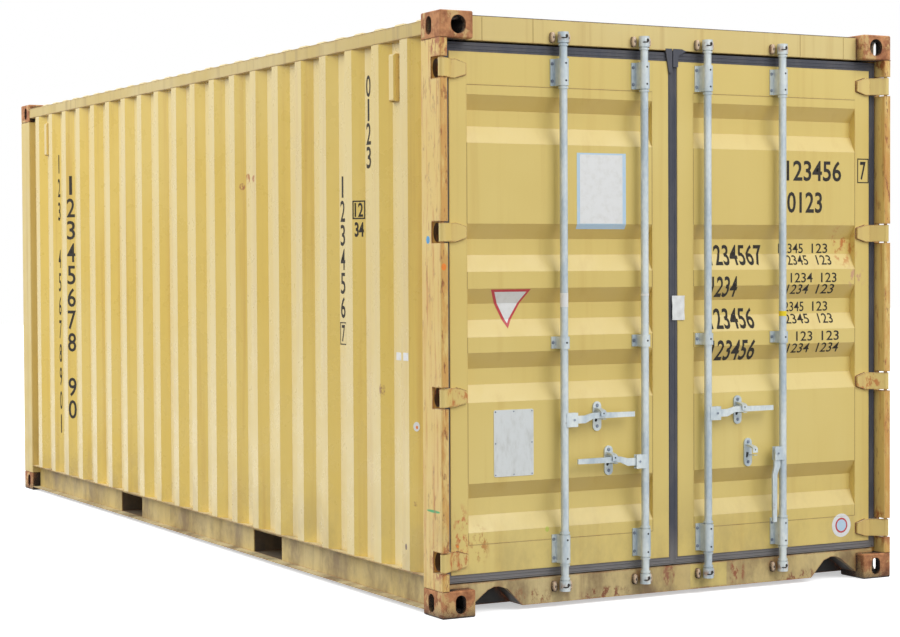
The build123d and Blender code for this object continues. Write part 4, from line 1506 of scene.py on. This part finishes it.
@dataclass
class Gasket:
    """Moulded ribs on the face of one door's seal, and its flap where the two doors meet."""

    side: Side
    front: float = 2.9575
    rib: float = 0.0032
    levels: Levels = (0.149, 0.163, 2.438, 2.453)
    outer: Range = (1.1525, 1.168)
    inner: Range = (-0.006, 0.022)
    height: Range = (0.142, 2.463)
    lip: Range = (0.0036, 0.0118)
    lip_outs: Range = (-0.0075, -0.0050)
    flap_outs: Range = (0.0004, 0.0078)
    left_flap: tuple[Pair, ...] = (
        (-0.033, 2.482), (-0.026, 2.440), (-0.0145, 2.374), (0.0030, 2.374), (0.0030, 2.482),
    )
    right_flap: tuple[Pair, ...] = (
        (0.0080, 2.400), (0.034, 2.400), (0.037, 2.450), (0.061, 2.464), (0.081, 2.472), (0.056, 2.482),
        (0.0080, 2.482),
    )

    def build(self) -> None:
        """Lay the ribs and the flap."""
        right = self.side is Side.RIGHT
        near, far = (self.side.value * across for across in self.outer)
        centre = self.inner[1] if right else self.inner[0]
        low, high = self.height
        sketch = Sketch()
        for z in self.levels:
            sketch.rod((self.front, far, z), (self.front, centre, z), self.rib, Finish.SEAL)
        for y in (near, far, centre):
            sketch.rod((self.front, y, low), (self.front, y, high), self.rib, Finish.SEAL)
        flap = self.right_flap if right else self.left_flap
        sketch.plate(DOOR_FACE, list(flap), self.flap_outs, Finish.SEAL)
        if right:
            sketch.box(DOOR_FACE, self.lip, self.height, self.lip_outs, Finish.SEAL)
        sketch.keep(f"gasket_ribs_{self.side.word}", f"door_{self.side.word}_leaf", "seal_rubber")


@dataclass(frozen=True)
class Tape:
    """Film wound round a locking bar."""

    levels: Range
    radius: float
    finish: Finish


@dataclass
class BarEnds:
    """Forged rims and shoulders on the cams of one locking bar, its handle's pivot head, and its tape."""

    bar: int
    eye: Pair = (0.0115, 0.0150)
    eye_out: float = 0.0211
    stock: float = 0.0028
    edges: Range = (-0.0185, 0.0185)
    collar: Pair = (0.0225, 0.0225)
    collar_stock: float = 0.0014
    pins: Pair = (0.040, -0.040)
    pin: Pair = (0.0052, 0.0052)
    pin_outs: Range = (0.0216, 0.0226)
    tapes = {
        0: Tape((1.323, 1.385), 0.0181, Finish.WHITE_FILM),
        1: Tape((1.368, 1.377), 0.0186, Finish.WHITE_FILM),
        3: Tape((1.264, 1.288), 0.0180, Finish.YELLOW_TAPE),
    }

    def build(self) -> None:
        """Build the rims, the pivot's head, and the tape that three of the bars carry."""
        y = BAR_Y[self.bar]
        front = Face((BAR_X, y, 0.0), (0.0, 1.0, 0.0))
        sketch = Sketch()
        for z in CAM_LEVELS:
            sketch.ring(front, (0.0, z), self.eye, self.stock, self.eye_out)
            for edge in self.edges:
                level = Face((BAR_X, y, z + edge), (1.0, 0.0, 0.0), (0.0, 1.0, 0.0))
                sketch.ring(level, (0.0, 0.0), self.collar, self.collar_stock, 0.0)
        place = (self.pins[self.bar % 2], PIVOTS[self.bar])
        sketch.disc(front, place, self.pin, self.pin_outs, Finish.BOLT, 12)
        tape = self.tapes.get(self.bar)
        if tape:
            low, high = tape.levels
            sketch.rod((BAR_X, y, low), (BAR_X, y, high), tape.radius, tape.finish, 24)
        sketch.keep(f"bar_ends_{self.bar + 1}", f"bar_{self.bar + 1}", "bar_zinc")


@dataclass
class Keepers:
    """Forged ears of the cam keepers, rounded, each with a dark disc of painted shade for its dimple; they
    take the place of the plain lugs.
    """

    back: float = 2.968
    levels: Range = (0.092, 2.503)
    offset: float = 0.0385
    half: Pair = (0.0113, 0.0235)
    outs: tuple[float, ...] = (0.0, 0.015, 0.020, 0.0219)
    shares: tuple[float, ...] = (1.0, 1.0, 0.84, 0.55)
    powers: Pair = (0.7, 0.8)
    dimple: Pair = (0.0030, 0.0060)
    dimple_outs: Range = (0.0215, 0.0221)
    sides: int = 20

    def ear(self, sketch: Sketch, y: float, z: float) -> None:
        """Add one ear.

        Args:
            sketch: The mesh that it goes to.
            y: Its middle across the box.
            z: Its middle height.
        """
        face = Face((self.back, y, z), (0.0, 1.0, 0.0))
        loops = []
        for out, share in zip(self.outs, self.shares):
            loop = []
            for step in range(self.sides):
                turn = math.tau * step / self.sides
                spread = []
                for part, power, half in zip((math.cos(turn), math.sin(turn)), self.powers, self.half):
                    spread.append(math.copysign(abs(part) ** power, part) * half * share)
                loop.append(face.at(spread[0], spread[1], out))
            loops.append(loop)
        sketch.loft(loops, Finish.KEEPER)
        # Dimple: a dark disc of painted shade.
        sketch.disc(face, (0.0, 0.0), self.dimple, self.dimple_outs, Finish.HOLE, 12)

    def build(self) -> None:
        """Forge all sixteen ears as one piece in place of the CAD lugs."""
        sketch = Sketch()
        for bar in BAR_Y:
            for way in (-1, 1):
                for z in self.levels:
                    self.ear(sketch, bar + way * self.offset, z)
        piece = sketch.keep("keeper_ears", "container", "keeper_steel")
        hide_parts("cam_keepers")


@dataclass
class Catches:
    """Handle catches of one door: riveted back plate, shelf under the handle, and a nose that covers it.

    They take the place of the plain catches of the frame.
    """

    side: Side
    half: Pair = (0.0215, 0.066)
    shelf: Range = (-0.0130, -0.0100)
    shelf_reach: float = 0.051
    hole: Pair = (0.0034, 0.0036)
    hole_rise: float = 0.015
    hole_outs: Range = (0.0620, 0.0639)
    nose_half: float = 0.0135
    nose: tuple[Pair, ...] = (
        (-0.001, 0.0310), (0.028, 0.0275), (0.050, 0.0235), (0.0585, 0.0195), (0.0600, 0.0020),
        (0.0640, 0.0020), (0.0630, 0.0225), (0.052, 0.0300), (0.030, 0.0350), (-0.001, 0.0385),
    )
    slot: tuple[Pair, ...] = (
        (-0.013, -0.022), (-0.007, -0.026), (-0.001, -0.020), (0.003, -0.002), (-0.010, 0.002),
    )

    def plate(self, sketch: Sketch, y: float, z: float) -> None:
        """Add the back plate with round ends, and a dark sheet of painted shade for the opening below the
        handle.

        Args:
            sketch: The mesh that it goes to.
            y: Its middle across the door.
            z: Its middle height.
        """
        steps = 9
        points = []
        for way in (1, -1):
            for step in range(steps):
                turn = math.pi * step / (steps - 1) + (0.0 if way > 0 else math.pi)
                rise = way * (self.half[1] - self.half[0])
                points.append((y + self.half[0] * math.cos(turn), z + rise + self.half[0] * math.sin(turn)))
        sketch.plate(DOOR_FACE, points, (-0.0005, CATCH_PLATE), Finish.ZINC)
        # Dark sheet of painted shade for the opening below the handle.
        opening = [(y + u, z + v) for u, v in self.slot]
        sketch.plate(DOOR_FACE, opening, (CATCH_PLATE - 0.0005, CATCH_PLATE + 0.0004), Finish.HOLE)

    def build(self) -> None:
        """Build the two catches of the door."""
        sketch = Sketch()
        for index in self.side.bars:
            y = CATCHES[index]
            z = PIVOTS[index] + CATCH_RISE
            self.plate(sketch, y, z)
            across = (y + 0.002, y + self.half[0] - 0.001)
            shelf = (z + self.shelf[0], z + self.shelf[1])
            sketch.box(DOOR_FACE, across, shelf, (0.001, self.shelf_reach), Finish.ZINC)
            beside = Face((LEAF_FACE, y, z), (1.0, 0.0, 0.0))
            sketch.plate(beside, list(self.nose), (-self.nose_half, self.nose_half), Finish.ZINC)
            # Dark disc of painted shade for the hole in the nose.
            sketch.disc(DOOR_FACE, (y, z + self.hole_rise), self.hole, self.hole_outs, Finish.HOLE, 12)
        piece = sketch.keep(f"catch_noses_{self.side.word}", f"door_{self.side.word}_leaf", "bar_zinc")
        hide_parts(f"handle_catches_{self.side.word}")


@dataclass
class DoorMarks:
    """Blank stickers, tapes and plain digits on the doors."""

    word: float = 0.097
    word_start: float = 0.226
    line: float = 0.046
    thin: float = 0.008
    sticker: Pair = (0.974, 0.257)
    tag_across: Range = (0.002, 0.070)
    tag_levels: Range = (1.254, 1.365)
    tag_out: float = 0.0042
    tag_steps: int = 9
    words: tuple[tuple[str, float, float], ...] = (
        ("1234567", 0.300, 1.500), ("1234", 0.145, 1.354), ("123456", 0.250, 1.207), ("123456", 0.250, 1.061),
    )
    rows: tuple[tuple[float, str, float, float, str, float, float], ...] = (
        (1.556, "12345", 0.628, 0.773, "123", 0.825, 0.918),
        (1.501, "12345", 0.645, 0.790, "123", 0.842, 0.928),
        (1.418, "1234", 0.674, 0.803, "123", 0.853, 0.945),
        (1.364, "1234", 0.660, 0.786, "123", 0.835, 0.936),
        (1.282, "12345", 0.642, 0.777, "123", 0.828, 0.918),
        (1.225, "12345", 0.633, 0.798, "123", 0.853, 0.939),
        (1.143, "123", 0.706, 0.801, "123", 0.856, 0.959),
        (1.087, "1234", 0.663, 0.789, "1234", 0.835, 0.964),
    )

    def left(self) -> None:
        """Put the placard, the triangle and a small sticker on the left door."""
        sketch = Sketch()
        edge = rectangle((-0.501, -0.244), (1.666, 2.003))
        placard = rectangle((-0.486, -0.262), (1.690, 1.996))
        outer = [(-0.938, 1.403), (-0.846, 1.232), (-0.738, 1.403)]
        inner = [(-0.918, 1.392), (-0.8445, 1.255), (-0.757, 1.392)]
        sketch.sheet(DOOR_FACE, edge, 0.0006, Finish.BLUE_TAPE, PRESSED)
        sketch.sheet(DOOR_FACE, placard, 0.0012, Finish.WHITE_FILM, PRESSED)
        sketch.sheet(DOOR_FACE, outer, 0.0007, Finish.RED_FILM, PRESSED)
        sketch.sheet(DOOR_FACE, inner, 0.0013, Finish.WHITE_FILM, PRESSED)
        sketch.sheet(DOOR_FACE, rectangle((-1.114, -1.104), (0.294, 0.303)), 0.0006, Finish.ORANGE_FILM)
        sketch.keep("door_marks_left", "door_left_leaf", "door_paint")

    def right(self) -> None:
        """Paint the digits and put the round sticker on the right door."""
        sketch = Sketch()
        sketch.digits(DOOR_FACE, "123456", (0.651, 0.973), (1.895, 1.992), PRESSED)
        sketch.frame(DOOR_FACE, (1.070, 1.138), (1.890, 2.007), 0.005)
        sketch.digits(DOOR_FACE, "7", (1.087, 1.121), (1.905, 1.992))
        sketch.digits(DOOR_FACE, "0123", (0.654, 0.859), (1.745, 1.844), PRESSED)
        for text, width, low in self.words:
            across = (self.word_start, self.word_start + width)
            sketch.digits(DOOR_FACE, text, across, (low, low + self.word), PRESSED)
        for low, first, start, end, second, begin, stop in self.rows:
            levels = (low, low + self.line)
            sketch.digits(DOOR_FACE, first, (start, end), levels, PRESSED, self.thin)
            sketch.digits(DOOR_FACE, second, (begin, stop), levels, PRESSED, self.thin)
        sketch.disc(DOOR_FACE, self.sticker, (0.056, 0.056), (0.0, 0.0008), Finish.WHITE_FILM, 40)
        sketch.disc(DOOR_FACE, self.sticker, (0.036, 0.036), (0.0008, 0.0011), Finish.RED_FILM, 32)
        sketch.disc(DOOR_FACE, self.sticker, (0.028, 0.028), (0.0011, 0.0014), Finish.BLUE_TAPE)
        sketch.keep("door_marks_right", "door_right_leaf", "door_paint")

    def tag(self) -> None:
        """Stick a crumpled white tag on the right door, beside the meeting edge."""
        steps = self.tag_steps
        left, right = self.tag_across
        low, high = self.tag_levels
        sketch = Sketch()
        points = []
        for row in range(steps):
            for column in range(steps):
                u, v = column / (steps - 1), row / (steps - 1)
                crease = 0.0016 * math.sin(9.0 * u + 4.0 * v) + 0.0012 * math.sin(13.0 * v - 6.0 * u)
                place = (left + (right - left) * u, low + (high - low) * v, self.tag_out + crease)
                points.append(sketch.shape.verts.new(DOOR_FACE.at(*place)))
        for row in range(steps - 1):
            for column in range(steps - 1):
                start = row * steps + column
                above = start + steps
                corners = (points[start], points[start + 1], points[above + 1], points[above])
                one = sketch.shape.faces.new(corners)
                one.material_index = sketch.index(Finish.WHITE_FILM)
        sketch.keep("paper_tag", "door_right_leaf", "door_paint")

    def build(self) -> None:
        """Put on all marks of the doors."""
        self.left()
        self.right()
        self.tag()


@dataclass
class BodyMarks:
    """Plain digits and small marks on the left side wall, and a patch of fresh paint on the sill."""

    def column(
        self, sketch: Sketch, face: Face, text: str, across: Range, levels: Range, tall: float,
    ) -> None:
        """Paint digits one below another.

        Args:
            sketch: The mesh that they go to.
            face: The face that they are painted on.
            text: The digits from the top down, with blanks left free.
            across: Range of a digit along the face.
            levels: Bottom and top of the column.
            tall: Height of a digit.
        """
        pitch = (levels[1] - levels[0] - tall) / (len(text) - 1)
        middle = (across[0] + across[1]) / 2
        for row, digit in enumerate(text):
            top = levels[1] - row * pitch
            half = (across[1] - across[0]) * (0.18 if digit == "1" else 0.5)
            if digit != " ":
                sketch.digits(face, digit, (middle - half, middle + half), (top - tall, top), weight=0.01)

    def build(self) -> None:
        """Put on all marks of the body."""
        sketch = Sketch()
        near, last, middle, far = (Face((x, OUTER, 0.0), SLOPE) for x in (2.152, 2.716, -2.078, -2.360))
        self.column(sketch, SUNK_FACE, "0123", (2.233, 2.279), (1.951, 2.376), 0.100)
        self.column(sketch, SUNK_FACE, "123456", (1.950, 1.998), (1.262, 1.926), 0.100)
        sketch.frame(near, (0.002, 0.074), (1.722, 1.807), 0.006)
        sketch.digits(near, "12", (0.014, 0.062), (1.732, 1.797))
        sketch.digits(near, "34", (0.014, 0.066), (1.640, 1.708), weight=0.03)
        self.column(sketch, middle, "12345678 90", (0.004, 0.074), (0.532, 2.082), 0.120)
        self.column(sketch, far, "123 45678901", (0.048, 0.068), (0.423, 2.228), 0.120)
        sketch.frame(SUNK_FACE, (1.941, 2.007), (1.137, 1.243), 0.005)
        sketch.digits(SUNK_FACE, "7", (1.957, 1.991), (1.150, 1.230))
        sketch.box(SUNK_FACE, (2.526, 2.574), (1.087, 1.122), (0.0, 0.0008), Finish.WHITE_FILM)
        sketch.box(OUTER_FACE, (2.664, 2.712), (1.091, 1.126), (0.0, 0.0008), Finish.WHITE_FILM)
        sketch.disc(last, (0.040, 0.805), (0.017, 0.021), (0.0, 0.0008), Finish.WHITE_FILM)
        sketch.disc(last, (0.042, 0.802), (0.006, 0.008), (0.0008, 0.0012), Finish.ORANGE_FILM, 12)
        sketch.box(SILL_FACE, (0.097, 0.300), (0.026, 0.133), (-0.0004, 0.0005), Finish.FRESH)
        sketch.keep("body_marks", "container", "wall_paint")


@dataclass
class Studio:
    """Pale floor, white surroundings, soft lamps and the camera."""

    place: Point = (10.8212, -5.3575, 1.5253)
    azimuth: float = 61.784
    elevation: float = 1.568
    roll: float = -0.284
    lens: float = 83.34
    sky: float = 0.92
    side_lamp: float = 760.0
    door_lamp: float = 560.0
    floor_glow: float = 0.5
    aim: Point = (0.6, 0.0, 1.2)

    def camera(self) -> None:
        """Set the camera as it stood for the photograph."""
        turn = math.radians(self.azimuth)
        rise = math.radians(self.elevation)
        lean = math.radians(self.roll)
        back = Vector((math.sin(turn) * math.cos(rise), -math.cos(turn) * math.cos(rise), math.sin(rise)))
        right = Vector((0, 0, 1)).cross(back).normalized()
        top = back.cross(right)
        tilted = math.cos(lean) * right + math.sin(lean) * top
        upward = -math.sin(lean) * right + math.cos(lean) * top
        data = bpy.data.cameras.new("camera")
        data.sensor_width = 36.0
        data.lens = self.lens
        data.clip_start = 0.1
        data.clip_end = 200.0
        camera = bpy.data.objects.new("camera", data)
        axes = Matrix((tilted, upward, back)).transposed()
        camera.matrix_world = Matrix.Translation(self.place) @ axes.to_4x4()
        bpy.context.scene.collection.objects.link(camera)
        bpy.context.scene.camera = camera

    def surroundings(self) -> None:
        """Make the surroundings white to the eye, with soft sky light for the object."""
        world = bpy.data.worlds.new("surroundings")
        world.use_nodes = True
        world.node_tree.nodes.clear()
        tree = Tree(world.node_tree)
        sky = tree.add("ShaderNodeBackground", {"Color": (0.96, 0.98, 1.0), "Strength": self.sky})
        white = tree.add("ShaderNodeBackground", {"Color": (1.0, 1.0, 1.0), "Strength": 1.0})
        mix = tree.add("ShaderNodeMixShader", {0: tree.seen(), 1: sky.outputs[0], 2: white.outputs[0]})
        tree.add("ShaderNodeOutputWorld", {"Surface": mix.outputs[0]})
        bpy.context.scene.world = world

    def floor(self) -> None:
        """Lay a wide pale floor that takes the object's soft shadow."""
        graph = Graph("pale_floor")
        white = graph.blend(FLOOR_TONE.on(graph), (0.93, 0.93, 0.93), (0.97, 0.97, 0.97))
        graph.paint(graph.blend(graph.seen(), (0.16, 0.16, 0.17), white), 0.95)
        graph.feed(graph.shader.inputs["Specular IOR Level"], 0.0)
        graph.feed(graph.shader.inputs["Emission Color"], (1.0, 1.0, 1.0))
        graph.feed(graph.shader.inputs["Emission Strength"], graph.times(graph.seen(), self.floor_glow))
        shape = bmesh.new()
        bmesh.ops.create_grid(shape, x_segments=8, y_segments=8, size=40.0)
        mesh = bpy.data.meshes.new("floor")
        shape.to_mesh(mesh)
        shape.free()
        mesh.materials.append(graph.material)
        ground = bpy.data.objects.new("floor", mesh)
        ground.location.z = -0.0005
        bpy.context.scene.collection.objects.link(ground)

    def lamp(self, name: str, place: Point, size: float, power: float) -> None:
        """Add one large soft white lamp that points at the box.

        Args:
            name: The lamp's name.
            place: Where it stands.
            size: Side of the square lamp.
            power: Power in watts.
        """
        data = bpy.data.lights.new(name, "AREA")
        data.size = size
        data.energy = power
        lamp = bpy.data.objects.new(name, data)
        way = Vector(self.aim) - Vector(place)
        lamp.matrix_world = Matrix.Translation(place) @ way.to_track_quat("-Z", "Y").to_matrix().to_4x4()
        bpy.context.scene.collection.objects.link(lamp)

    def build(self) -> None:
        """Build the whole studio."""
        self.camera()
        self.surroundings()
        self.floor()
        self.lamp("sky_left", (-3.5, -9.5, 8.0), 9.0, self.side_lamp)
        self.lamp("sky_door", (10.5, 3.0, 8.5), 7.0, self.door_lamp)
        bpy.context.scene.view_settings.view_transform = "Standard"


def main() -> None:
    """Build every part of the scene and report it."""
    logging.basicConfig(level=logging.INFO, format="%(name)s %(message)s")
    Studio().build()
    dress_nodes(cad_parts)
    repeater = Repeater()
    for side in Side:
        DoorFasteners(side, repeater).build()
    BodyFasteners(repeater).build()
    Welds(repeater).build()
    for side in Side:
        Gasket(side).build()
    Keepers().build()
    for side in Side:
        Catches(side).build()
    for bar in range(len(BAR_Y)):
        BarEnds(bar).build()
    DoorMarks().build()
    BodyMarks().build()


if __name__ == "__main__":
    main()
